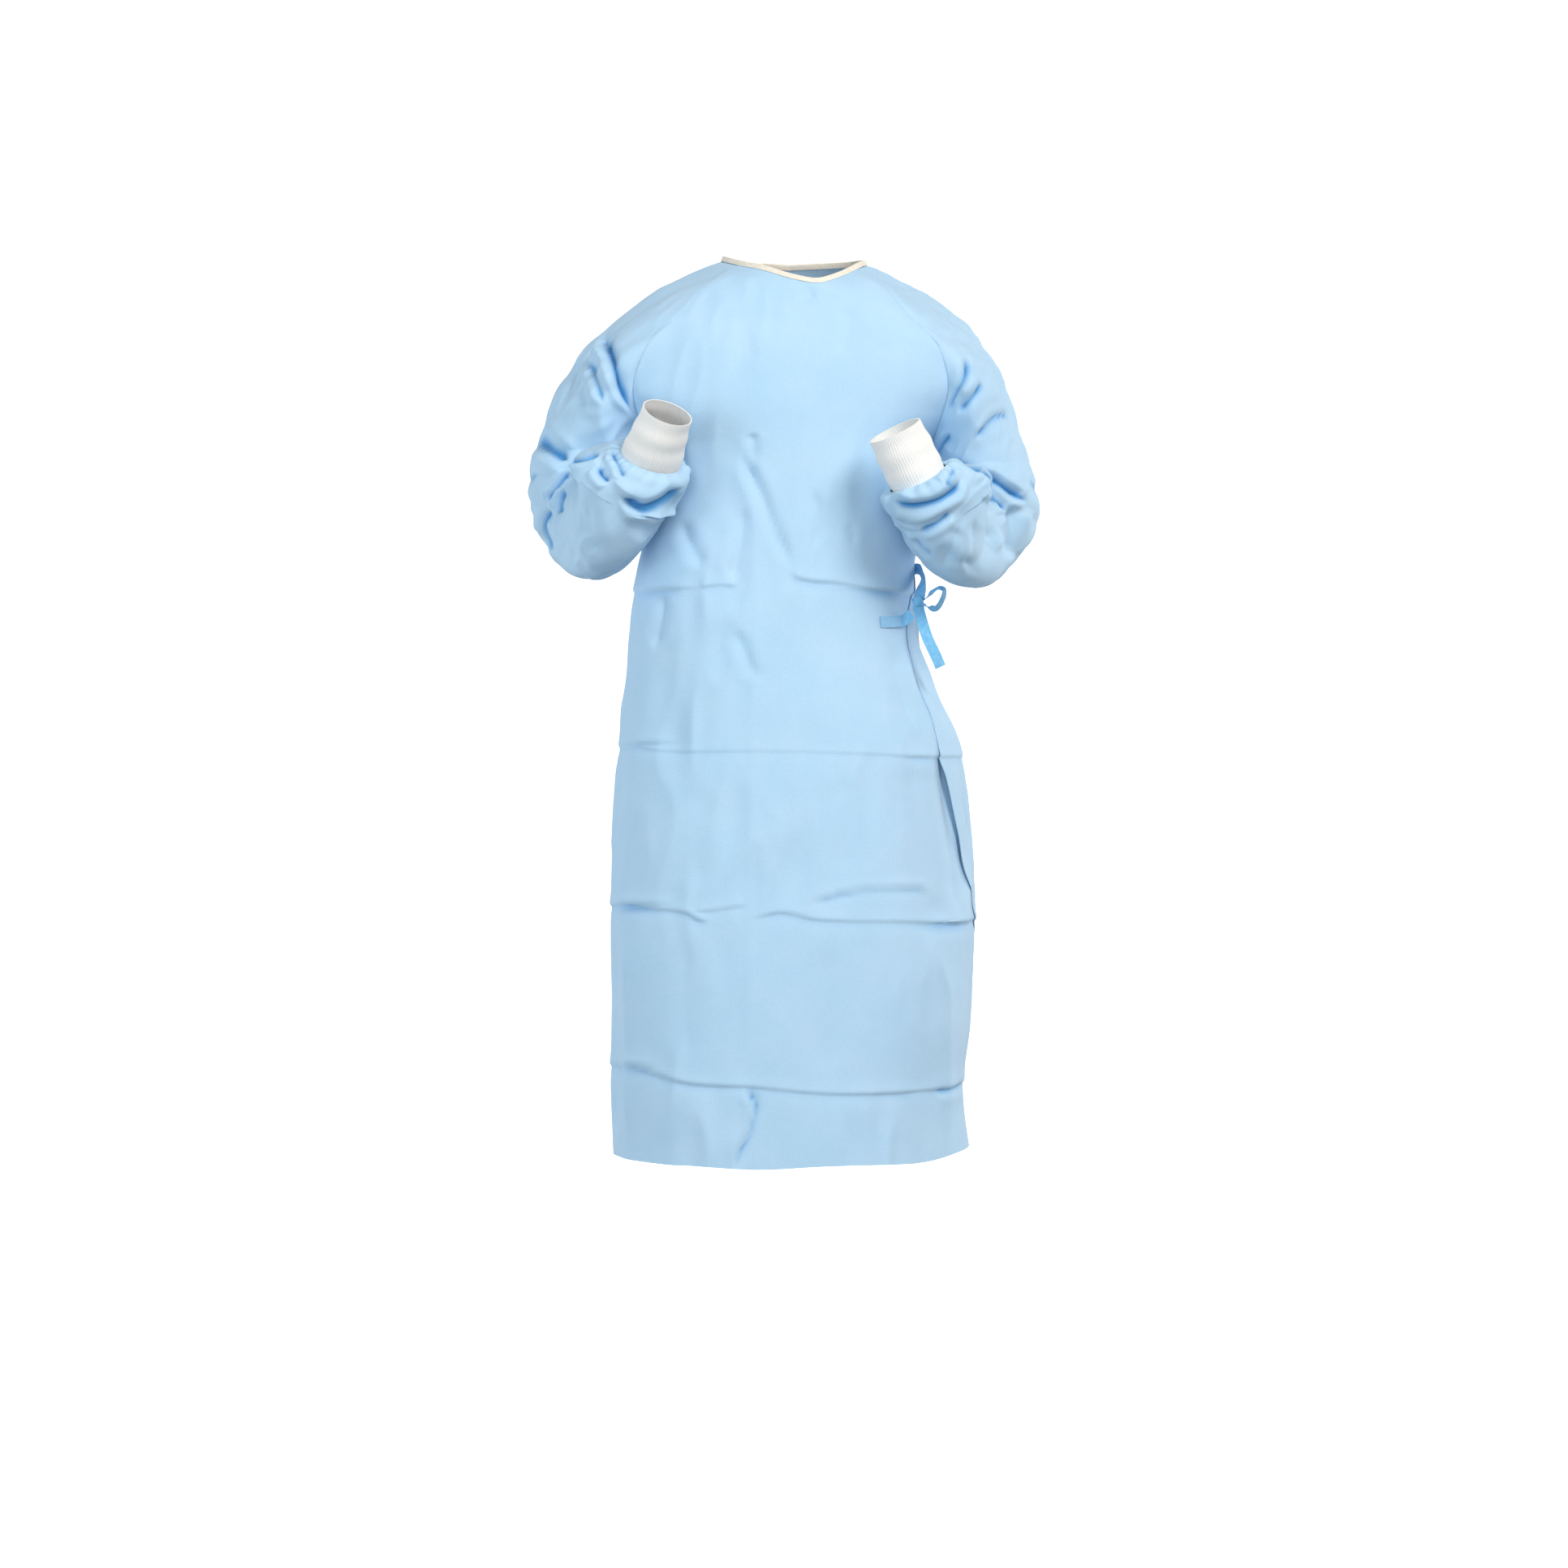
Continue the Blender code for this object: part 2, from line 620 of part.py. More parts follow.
def sleeve_grid(side):
    elbow = LEFT_ELBOW if side > 0 else RIGHT_ELBOW
    forearm = LEFT_FOREARM if side > 0 else RIGHT_FOREARM
    top_line = LEFT_TOP_LINE if side > 0 else RIGHT_TOP_LINE
    cuff = LEFT_CUFF if side > 0 else RIGHT_CUFF
    turns = ring_turns()
    last_turn = elbow["rings"][-1][0]
    elbow_turns = even(ELBOW_START, last_turn, ELBOW_ROWS + 1)
    seam = seam_loop(side)
    last = elbow_ring(elbow, elbow_turns[0], turns)
    guide_shares = even(0, 1, SHOULDER_GUIDES + 1)[:-1]
    guides = [shoulder_ring(seam, last, top_line, turns, share) for share in guide_shares]
    guides.append(last)
    guides.append(elbow_ring(elbow, elbow_turns[1], turns))
    guides = np.array(guides)
    upper = []
    for k in range(len(turns)):
        steps = np.linalg.norm(np.diff(guides[:, k], axis=0), axis=1)
        length = np.concatenate([[0], np.cumsum(steps)])
        stop = length[-2] / length[-1]
        upper.append(smooth_path(guides[:, k], even(0, stop, SHOULDER_ROWS + 1)))
    upper = np.array(upper).transpose(1, 0, 2)
    rings = list(upper[:-1])
    rings += [elbow_ring(elbow, turn, turns) for turn in elbow_turns]
    rings += forearm_rings(elbow, forearm, cuff, turns, even(0, 1, FOREARM_ROWS + 1)[1:])
    return np.array(rings)


def cuff_grid(side):
    elbow = LEFT_ELBOW if side > 0 else RIGHT_ELBOW
    forearm = LEFT_FOREARM if side > 0 else RIGHT_FOREARM
    cuff = LEFT_CUFF if side > 0 else RIGHT_CUFF
    axis, across, out = cuff_frame(cuff, elbow)
    turns = ring_turns()
    rings = []
    for share in even(0, 1, CUFF_ROWS + 1):
        wide = forearm[-1][1] * (1 - share) + WRIST_HALF[0] * share
        deep = forearm[-1][2] * (1 - share) + WRIST_HALF[1] * share
        middle = np.asarray(cuff["seam"]) + axis * CUFF_LENGTH * share
        ring = middle + out * (deep * np.cos(turns))[:, None]
        rings.append(ring + across * (wide * np.sin(turns))[:, None])
    return np.array(rings)


def binding_grid():
    """The strip above the neckline, from the inner panel's edge round the front to the outer's."""
    start = INNER_TORSO_EDGE[-1][1] + 360.0
    end = FLAP_TORSO_EDGE[-1][1] - 360.0
    left = even(start, NECK_BACK, BINDING_LEFT_STEPS)
    arc_left = even(NECK_BACK, NECK_FRONT, NECK_STEPS + 1)
    front = even(NECK_FRONT, -NECK_FRONT, FRONT_COLUMNS + 1)
    arc_right = even(-NECK_FRONT, -NECK_BACK, NECK_STEPS + 1)
    right = even(-NECK_BACK, end, BINDING_RIGHT_STEPS)
    angles = np.concatenate([left, arc_left[1:], front[1:], arc_right[1:], right[1:]])
    foot = neck_point(within_turn(angles))
    inward = unit((np.array(NECK_MIDDLE) - foot) * np.array([1.0, 1.0, 0.0]))
    layer = softened((-NECK_BACK - angles) / BINDING_LIFT_TURN)
    foot = foot - inward * (FLAP_LIFT * layer)[:, None]
    rise = unit(inward * BINDING_LEAN + np.array([0.0, 0.0, 1.0]))
    return np.array([foot, foot + rise * BINDING_HEIGHT])


def vertex_normals(grid, closed):
    if closed:
        across = np.roll(grid, -1, axis=1) - np.roll(grid, 1, axis=1)
    else:
        across = np.gradient(grid, axis=1)
    along = np.gradient(grid, axis=0)
    return unit(np.cross(across, along))


def seam_key(point):
    return tuple(np.round(np.asarray(point) * 5000).astype(int))


def inward_way(panel, r, c):
    """Unit direction from an edge point of the grid into the piece."""
    grid = panel["grid"]
    rows, columns = grid.shape[:2]
    way = np.zeros(3)
    if r == 0:
        way += unit(grid[1, c] - grid[0, c])
    if r == rows - 1:
        way += unit(grid[rows - 2, c] - grid[rows - 1, c])
    if not panel["closed"]:
        if c == 0:
            way += unit(grid[r, 1] - grid[r, 0])
        if c == columns - 1:
            way += unit(grid[r, columns - 2] - grid[r, columns - 1])
    return unit(way)


def mean_normal(normals):
    """The mean direction of pieces that meet; pieces that face the same way count as one."""
    normals = np.array(normals)
    alike = (normals @ normals.T > ALIKE).sum(axis=1)
    return unit((normals / alike[:, None]).sum(axis=0))


def join_seams(panels):
    """Where pieces share a seam point, they take the mean of their normals and draw apart."""
    found = {}
    for panel in panels:
        for r, c in panel["edge"]:
            key = seam_key(panel["grid"][r, c])
            meeting = (panel["name"], panel["normals"][r, c], inward_way(panel, r, c))
            found.setdefault(key, []).append(meeting)
    for panel in panels:
        shared = panel["normals"].copy()
        moved = panel["grid"].copy()
        for r, c in panel["edge"]:
            meeting = found[seam_key(panel["grid"][r, c])]
            mean = mean_normal([normal for _, normal, _ in meeting])
            own = panel["normals"][r, c]
            inward = inward_way(panel, r, c)
            others = [way for name, _, way in meeting if name != panel["name"]]
            pull = SEAM_PULL
            if others:
                way = unit(np.sum(others, axis=0))
                half_angle = math.acos(np.clip(np.dot(inward, way), -1, 1)) / 2
                pull = SEAM_PULL / max(math.sin(half_angle), SHARPEST_SEAM)
            shared[r, c] = mean / max(np.dot(mean, own), LEAST_MITRE)
            moved[r, c] += inward * pull
        panel["shared"] = shared
        panel["moved"] = moved


def edge_cells(rows, columns, closed):
    cells = [(r, c) for r in (0, rows - 1) for c in range(columns)]
    if not closed:
        cells += [(r, c) for c in (0, columns - 1) for r in range(1, rows - 1)]
    return cells


def fold_shift(points, normals):
    """How far each point moves along its normal for the folds of the front and the back."""
    shift = np.zeros(points.shape[:-1])
    for table, facing in ((FRONT_FOLDS, -1.0), (BACK_FOLDS, 1.0)):
        towards = np.clip((normals[..., 1] * facing - FOLD_FACING) / FOLD_FACING_RANGE, 0, 1)
        for x1, z1, x2, z2, half_width, depth in table:
            line = np.array([x2 - x1, z2 - z1])
            place = np.stack([points[..., 0] - x1, points[..., 2] - z1], axis=-1)
            along = np.clip((place @ line) / (line @ line), 0, 1)
            away = np.linalg.norm(place - along[..., None] * line, axis=-1)
            shift += towards * depth * np.exp(-((away / half_width) ** 2))
    return shift


def fold_panels(panels):
    """Presses the folds into the grids; shared seam points move alike."""
    for panel in panels:
        if panel["material"] != "gown_cloth":
            continue
        held = np.ones(panel["grid"].shape[0])
        fade = SLEEVE_FOLD_FADE if panel["closed"] else PANEL_FOLD_FADE
        held[-len(fade):] = fade
        normals = unit(panel["shared"])
        shift = fold_shift(panel["grid"], normals) * held[:, None]
        panel["grid"] = panel["grid"] + normals * shift[..., None]
        panel["normals"] = vertex_normals(panel["grid"], panel["closed"])


def make_panel(name, grid, closed, wall, material):
    rows, columns = grid.shape[:2]
    return {
        "name": name,
        "grid": grid,
        "closed": closed,
        "wall": wall,
        "material": material,
        "normals": vertex_normals(grid, closed),
        "edge": edge_cells(rows, columns, closed),
    }


def edge_faces(near, far, under, order):
    """The two triangles of a wall's edge; both pieces at a seam split it the same way."""
    if order[near] < order[far]:
        return [(far, near, under + far), (near, under + near, under + far)]
    return [(far, near, under + near), (far, under + near, under + far)]


def walled_mesh(grid, normals, wall, closed, seam_grid=None):
    """Vertices and faces of a closed wall of cloth on both sides of the grid."""
    rows, columns = grid.shape[:2]
    outer = grid + normals * wall / 2
    inner = grid - normals * wall / 2
    points = np.vstack([outer.reshape(-1, 3), inner.reshape(-1, 3)])
    seam_points = (grid if seam_grid is None else seam_grid).reshape(-1, 3)
    order = [seam_key(point) for point in seam_points]
    under = rows * columns
    faces = []
    spans = columns if closed else columns - 1
    for r in range(rows - 1):
        for c in range(spans):
            n = (c + 1) % columns
            a, b = r * columns + c, r * columns + n
            d, e = b + columns, a + columns
            faces.append((a, b, d))
            faces.append((a, d, e))
            faces.append((under + a, under + d, under + b))
            faces.append((under + a, under + e, under + d))
    top = (rows - 1) * columns
    for c in range(spans):
        n = (c + 1) % columns
        faces += edge_faces(c, n, under, order)
        faces += edge_faces(top + n, top + c, under, order)
    if not closed:
        for r in range(rows - 1):
            near, near_up = r * columns, (r + 1) * columns
            faces += edge_faces(near_up, near, under, order)
            faces += edge_faces(near + columns - 1, near_up + columns - 1, under, order)
    return points, faces


def material_named(name):
    found = bpy.data.materials.get(name)
    if found:
        return found
    material = bpy.data.materials.new(name)
    material.use_nodes = True
    shader = material.node_tree.nodes["Principled BSDF"]
    shader.inputs["Base Color"].default_value = COLOURS[name]
    shader.inputs["Roughness"].default_value = ROUGHNESS
    return material


def add_object(name, points, faces, material, collection):
    mesh = bpy.data.meshes.new(name)
    mesh.from_pydata([tuple(p) for p in points], [], faces)
    mesh.update()
    mesh.validate()
    volume = 0.0
    mesh.calc_loop_triangles()
    for triangle in mesh.loop_triangles:
        a, b, c = [mesh.vertices[i].co for i in triangle.vertices]
        volume += a.dot(b.cross(c))
    if volume < 0:
        mesh.flip_normals()
    mesh.materials.append(material_named(material))
    obj = bpy.data.objects.new(name, mesh)
    collection.objects.link(obj)
    return obj


def add_panel(panel, collection):
    points, faces = walled_mesh(
        panel["moved"], panel["shared"], panel["wall"], panel["closed"], panel["grid"]
    )
    return add_object(panel["name"], points, faces, panel["material"], collection)


def tape_mesh(path, width_way, width, wall, steps):
    """A flat tape along a path; width_way holds the direction of its width at the path's ends."""
    at = even(0, 1, steps + 1)
    centre = smooth_path(path, at)
    first, last = unit(width_way[0]), unit(width_way[1])
    tangent = unit(np.gradient(centre, axis=0))
    way = unit(first[None] * (1 - at)[:, None] + last[None] * at[:, None])
    way = unit(way - tangent * (way * tangent).sum(axis=1)[:, None])
    grid = np.array([centre - way * width / 2, centre, centre + way * width / 2])
    normals = np.repeat(unit(np.cross(tangent, way))[None], 3, axis=0)
    return walled_mesh(grid, normals, wall, False)


def point_over_front(x, z, distance):
    """A point at a distance outside the middle of the front panel, by its place in the front view."""
    row = body_row(z, even(-90.0, 90.0, 361))
    way = np.gradient(row, axis=0)
    outward = unit(np.stack([way[:, 1], -way[:, 0], 0 * way[:, 0]], axis=-1))
    moved = row + outward * distance
    y = np.interp(x, moved[:, 0], moved[:, 1])
    return np.array([x, y, z])


def front_tie_path():
    x, z = FRONT_TIE_START
    rest = CLOTH_WALL / 2 + REST_GAP + TAPE_WALL / 2
    lying = []
    for share in even(0, 1, FRONT_TIE_POINTS):
        rise = FRONT_TIE_RISE * share**2
        away = rest + FRONT_TIE_STAND_OFF * share**2
        lying.append(point_over_front(x + FRONT_TIE_LENGTH * share, z + rise, away))
    return lying + [np.array(KNOT) + np.array(FRONT_TIE_END)]


def back_tie_path():
    """From where it is sewn on the outer back panel, round the side to the back of the knot."""
    angles = np.array(BACK_TIE_TURNS) - 360.0
    row = body_row(BACK_TIE_Z, angles)
    rest = FLAP_LIFT + CLOTH_WALL / 2 + REST_GAP + TAPE_WALL / 2
    way = np.gradient(row, axis=0)
    outward = unit(np.stack([-way[:, 1], way[:, 0], 0 * way[:, 0]], axis=-1))
    outward = outward * np.sign(outward[:, :1])
    return list(row + outward * rest) + [np.array(p) for p in BACK_TIE_FREE_PATH]


def knot_mesh():
    """The knot as a small rounded bead of tape."""
    rings, sides = KNOT_RINGS, KNOT_SIDES
    points, faces = [], []
    for r in range(1, rings):
        turn = math.pi * r / rings
        for s in range(sides):
            around = 2 * math.pi * s / sides
            bulge = 1.0 + KNOT_BULGE * math.cos(KNOT_LOBES * around + turn)
            points.append((
                KNOT[0] + KNOT_HALF[0] * math.sin(turn) * math.cos(around) * bulge,
                KNOT[1] + KNOT_HALF[1] * math.sin(turn) * math.sin(around) * bulge,
                KNOT[2] + KNOT_HALF[2] * math.cos(turn),
            ))
    top, bottom = len(points), len(points) + 1
    points.append((KNOT[0], KNOT[1], KNOT[2] + KNOT_HALF[2]))
    points.append((KNOT[0], KNOT[1], KNOT[2] - KNOT_HALF[2]))
    for r in range(rings - 2):
        for s in range(sides):
            n = (s + 1) % sides
            faces.append((r * sides + s, r * sides + n, (r + 1) * sides + n, (r + 1) * sides + s))
    for s in range(sides):
        n = (s + 1) % sides
        faces.append((top, n, s))
        faces.append((bottom, (rings - 2) * sides + s, (rings - 2) * sides + n))
    return np.array(points), faces


def fastener_grid():
    """The patch between the two back panels just below the neck."""
    rows = []
    across = even(-FASTENER_HALF_WIDTH, FASTENER_HALF_WIDTH, FASTENER_COLUMNS)
    for share in even(FASTENER_FOOT, FASTENER_TOP, FASTENER_ROWS):
        row = torso_row("back", share, across)
        rows.append(row + lift(row, np.full(FASTENER_COLUMNS, -180.0)) / 2)
    return np.array(rows)


def build():
    for obj in list(bpy.data.objects):
        bpy.data.objects.remove(obj, do_unlink=True)
    gown = bpy.data.collections.new("surgical_gown")
    bpy.context.scene.collection.children.link(gown)
    panels = [
        make_panel("front_panel", front_grid(), False, CLOTH_WALL, "gown_cloth"),
        make_panel("back_panel_outer", outer_grid()[:, ::-1], False, CLOTH_WALL, "gown_cloth"),
        make_panel("back_panel_inner", inner_grid()[:, ::-1], False, CLOTH_WALL, "gown_cloth"),
        make_panel("sleeve_left", sleeve_grid(1)[:, ::-1], True, CLOTH_WALL, "gown_cloth"),
        make_panel("sleeve_right", sleeve_grid(-1), True, CLOTH_WALL, "gown_cloth"),
        make_panel("cuff_left", cuff_grid(1)[:, ::-1], True, KNIT_WALL, "knit_cuff"),
        make_panel("cuff_right", cuff_grid(-1), True, KNIT_WALL, "knit_cuff"),
        make_panel("neck_binding", binding_grid()[:, ::-1], False, BINDING_WALL, "neck_binding"),
    ]
    join_seams(panels)
    fold_panels(panels)
    join_seams(panels)
    for panel in panels:
        add_panel(panel, gown)
    tapes = (
        ("front_tie", front_tie_path(), FRONT_TIE_WAYS, TAPE_STEPS),
        ("back_tie", back_tie_path(), BACK_TIE_WAYS, TAPE_STEPS),
        ("bow_loop", BOW_LOOP_PATH, BOW_LOOP_WAYS, LOOP_STEPS),
        ("tie_tail", TAIL_PATH, TAIL_WAYS, TAPE_STEPS),
    )
    for name, path, ways, steps in tapes:
        points, faces = tape_mesh(path, ways, TAPE_WIDTH, TAPE_WALL, steps)
        add_object(name, points, faces, "tie_tape", gown)
    points, faces = knot_mesh()
    add_object("tie_knot", points, faces, "tie_tape", gown)
    patch = fastener_grid()
    points, faces = walled_mesh(patch, vertex_normals(patch, False), TAPE_WALL, False)
    add_object("neck_fastener", points, faces, "fastener", gown)


build()
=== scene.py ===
"""How the surgical gown looks: creased non-woven cloth, knitted cuffs, a folded binding and tied tapes.

Metres, +Z up. The front faces -Y and +X is the wearer's left. The grids are worked out
as those of the solids are, with more rows and columns, and then creased.
"""

import math

import bpy
import mathutils
import numpy as np
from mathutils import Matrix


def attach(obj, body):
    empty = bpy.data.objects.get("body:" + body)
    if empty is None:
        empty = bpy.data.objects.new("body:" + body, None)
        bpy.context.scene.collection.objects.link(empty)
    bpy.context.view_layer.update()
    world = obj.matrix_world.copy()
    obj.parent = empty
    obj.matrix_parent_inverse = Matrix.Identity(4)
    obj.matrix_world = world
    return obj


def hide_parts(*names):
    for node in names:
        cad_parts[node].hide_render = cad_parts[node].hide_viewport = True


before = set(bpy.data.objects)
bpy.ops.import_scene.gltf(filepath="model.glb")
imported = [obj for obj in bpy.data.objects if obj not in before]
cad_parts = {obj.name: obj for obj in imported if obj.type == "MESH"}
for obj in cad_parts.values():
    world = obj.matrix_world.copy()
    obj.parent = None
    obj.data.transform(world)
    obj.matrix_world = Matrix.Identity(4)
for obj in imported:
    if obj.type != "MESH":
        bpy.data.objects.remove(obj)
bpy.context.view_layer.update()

# Thicknesses and gaps
CLOTH_WALL = 0.0010
TAPE_WALL = 0.0014
SEAM_PULL = 0.00005
SHARPEST_SEAM = 0.20
LEAST_MITRE = 0.65
ALIKE = 0.8
REST_GAP = 0.0010

# Main sizes
HEM_Z = -1.125
UNDERARM_Z = -0.242
BINDING_HEIGHT = 0.007
BINDING_LEAN = 0.35
BINDING_LIFT_TURN = 40.0
NECK_MIDDLE = (0.006, -0.008, 0.0)
CUFF_LENGTH = 0.066
TAPE_WIDTH = 0.014
FLAP_LIFT = 0.0050
FLAP_LIFT_TURN = 50.0

# Counts along each grid
SKIRT_ROWS = 192
TORSO_ROWS = 76
FRONT_COLUMNS = 164
OUTER_COLUMNS = 164
INNER_COLUMNS = 82
NECK_STEPS = 28
SHOULDER_ROWS = 60
ELBOW_ROWS = 104
FOREARM_ROWS = 74
CUFF_ROWS = 30
SHOULDER_GUIDES = 5

# How far the hem rises round the wearer's left side, by degrees from the front centre
HEM_RISE = ((-180.0, 0.0), (35.0, 0.0), (62.0, 0.008), (90.0, 0.012), (125.0, 0.006), (180.0, 0.0))
HEM_RISE_POWER = 6

# Largest folds: the x and z of both ends of a line in the front view, its half width and depth.
# A minus depth is a trough, a plus depth a ridge.
FRONT_FOLDS = (
    (-0.236, -0.090, -0.216, -0.200, 0.015, -0.0050),
    (-0.268, -0.120, -0.246, -0.205, 0.015, -0.0035),
    (0.262, -0.190, 0.232, -0.245, 0.018, -0.0050),
    (-0.196, -0.830, -0.197, -1.125, 0.020, 0.0040),
    (0.190, -0.850, 0.194, -1.125, 0.020, 0.0035),
    (-0.160, -0.430, -0.150, -0.600, 0.022, -0.0035),
    (0.160, -0.660, 0.185, -0.820, 0.022, -0.0060),
)
BACK_FOLDS = (
    (-0.120, -0.420, -0.150, -0.900, 0.030, -0.0060),
    (0.060, -0.400, 0.100, -0.850, 0.030, -0.0055),
    (-0.020, -0.430, -0.035, -1.125, 0.032, 0.0060),
)

# How far a place must face forwards or back for a fold, and the range of facing over which a fold comes
# in
FOLD_FACING = 0.15
FOLD_FACING_RANGE = 0.5

# Neck angles, in degrees from the front centre, where the raglan seams meet the neckline
NECK_FRONT = 58.0
NECK_BACK = 122.0

# How square the gown's horizontal sections are: the power on sine and cosine
SIDE_POWER = 0.80
CHEST_POWER = 0.92
CHEST_POWER_FROM = 0.3
NECK_DRAW_POWER = 4

# Horizontal sections of the body below the underarm
BODY_COLUMNS = ("z", "centre", "half_width", "front", "side", "back")
BODY_SECTIONS = (
    (-1.1250, 0.003, 0.2245, -0.176, 0.000, 0.178),
    (-1.0504, -0.001, 0.2215, -0.175, 0.000, 0.177),
    (-0.9525, 0.003, 0.2260, -0.173, 0.000, 0.175),
    (-0.8290, 0.0035, 0.2290, -0.169, 0.000, 0.170),
    (-0.6950, 0.0005, 0.2210, -0.161, 0.000, 0.158),
    (-0.6126, -0.0025, 0.2135, -0.154, 0.000, 0.148),
    (-0.5405, -0.0140, 0.1925, -0.147, 0.000, 0.133),
    (-0.4684, -0.0215, 0.1795, -0.140, 0.000, 0.120),
    (-0.4066, -0.019, 0.1757, -0.135, 0.002, 0.112),
    (-0.3300, -0.008, 0.1730, -0.133, 0.004, 0.114),
    (-0.2420, 0.000, 0.1730, -0.134, 0.004, 0.118),
)

# Centre lines of the chest and back above the underarm, by share of the height
CENTRE_COLUMNS = ("share", "front_x", "front_y", "front_z", "back_x", "back_y", "back_z")
CENTRE_LINES = (
    (0.00, 0.000, -0.134, -0.242, 0.000, 0.118, -0.242),
    (0.25, 0.003, -0.134, -0.205, 0.000, 0.121, -0.200),
    (0.50, 0.008, -0.129, -0.148, 0.000, 0.118, -0.135),
    (0.75, 0.018, -0.115, -0.092, 0.000, 0.104, -0.065),
    (1.00, 0.035, -0.098, -0.040, 0.000, 0.076, 0.004),
)

# Raglan seams on the wearer's left, by share of the height; the right ones mirror them
RAGLAN_COLUMNS = ("share", "front_x", "front_y", "front_z", "back_x", "back_y", "back_z")
RAGLAN_SEAMS = (
    (0.00, 0.1730, 0.004, -0.242, 0.1730, 0.004, -0.242),
    (0.12, 0.1800, -0.036, -0.228, 0.1790, 0.042, -0.226),
    (0.28, 0.1900, -0.074, -0.202, 0.1850, 0.074, -0.192),
    (0.45, 0.1975, -0.098, -0.168, 0.1820, 0.094, -0.156),
    (0.62, 0.1860, -0.107, -0.122, 0.1620, 0.102, -0.110),
    (0.80, 0.1450, -0.099, -0.076, 0.1320, 0.092, -0.060),
    (0.92, 0.1140, -0.074, -0.035, 0.1060, 0.070, -0.020),
    (1.00, 0.0880, -0.047, -0.013, 0.0840, 0.046, 0.004),
)

# Where the sleeve's rings meet the raglan seams: share of the seam, turn round the ring in degrees
FRONT_TURNS = ((0.0, 270.0), (0.25, 212.0), (0.5, 172.0), (0.75, 138.0), (1.0, 108.0))
BACK_TURNS = ((0.0, -90.0), (0.25, -36.0), (0.5, 4.0), (0.75, 40.0), (1.0, 72.0))

# How far round each torso row runs before its edge, in degrees, by share of the height
ROW_TURN = ((0.0, 90.0), (0.15, 80.0), (0.4, 66.0), (0.7, 60.0), (1.0, 60.0))

# The neckline seen from above, by degrees from the front centre; plus is the wearer's left
NECK_COLUMNS = ("angle", "x", "y", "z")
NECKLINE = (
    (-180.0, 0.000, 0.076, 0.004),
    (-150.0, -0.044, 0.067, 0.006),
    (-122.0, -0.076, 0.044, 0.007),
    (-90.0, -0.085, 0.000, 0.003),
    (-58.0, -0.064, -0.050, -0.010),
    (-30.0, -0.030, -0.082, -0.022),
    (0.0, 0.007, -0.096, -0.035),
    (22.0, 0.035, -0.099, -0.040),
    (40.0, 0.061, -0.084, -0.031),
    (58.0, 0.088, -0.047, -0.013),
    (90.0, 0.099, 0.000, -0.002),
    (122.0, 0.084, 0.046, 0.004),
    (150.0, 0.046, 0.068, 0.005),
    (180.0, 0.000, 0.076, 0.004),
)

# Free edge of the outer back panel in skirt and torso, in degrees from the front centre
FLAP_EDGE = (
    (-1.125, 112.0),
    (-0.950, 100.0),
    (-0.850, 86.0),
    (-0.800, 77.0),
    (-0.767, 72.0),
    (-0.705, 65.0),
    (-0.654, 60.0),
    (-0.627, 57.0),
    (-0.542, 64.0),
    (-0.455, 68.0),
    (-0.400, 88.0),
    (-0.340, 112.0),
    (-0.242, 128.0),
)
FLAP_TORSO_EDGE = ((0.0, 128.0), (0.4, 143.0), (1.0, 158.0))
INNER_EDGE = ((-1.125, -150.0), (-0.242, -150.0))
INNER_TORSO_EDGE = ((0.0, -150.0), (1.0, -158.0))

# Sleeves. The top line of each runs from the neck over the shoulder to the elbow.
LEFT_TOP_LINE = (
    (0.150, 0.000, -0.027),
    (0.212, 0.000, -0.065),
    (0.258, -0.002, -0.120),
    (0.283, -0.012, -0.185),
)
RIGHT_TOP_LINE = (
    (-0.140, 0.000, -0.019),
    (-0.208, 0.000, -0.063),
    (-0.264, -0.004, -0.116),
    (-0.299, -0.015, -0.176),
)
FRONT_FULLNESS = np.array([0.024, -0.013, 0.002])
BACK_FULLNESS = np.array([0.008, 0.014, 0.000])

# Elbow rings turn about a hinge line through the crook of the arm.
ELBOW_START = 15.0
ELBOW_COLUMNS = ("turn", "reach", "outward", "inward", "through")
LEFT_ELBOW = {
    "hinge": (0.2050, -0.084, -0.2640),
    "across": (0.880, -0.350, 0.200),
    "start": (0.300, 0.950, -0.020),
    "rings": (
        (0.0, 0.082, 0.069, 0.046, 0.074),
        (35.0, 0.086, 0.074, 0.046, 0.078),
        (70.0, 0.081, 0.044, 0.052, 0.074),
        (105.0, 0.080, 0.038, 0.062, 0.074),
        (142.0, 0.074, 0.056, 0.066, 0.066),
    ),
}
RIGHT_ELBOW = {
    "hinge": (-0.2150, -0.076, -0.2500),
    "across": (-0.894, -0.340, 0.287),
    "start": (-0.363, 0.931, -0.031),
    "rings": (
        (0.0, 0.082, 0.080, 0.046, 0.074),
        (35.0, 0.086, 0.073, 0.046, 0.078),
        (70.0, 0.083, 0.043, 0.052, 0.078),
        (105.0, 0.082, 0.038, 0.062, 0.075),
        (142.0, 0.074, 0.058, 0.064, 0.066),
    ),
}

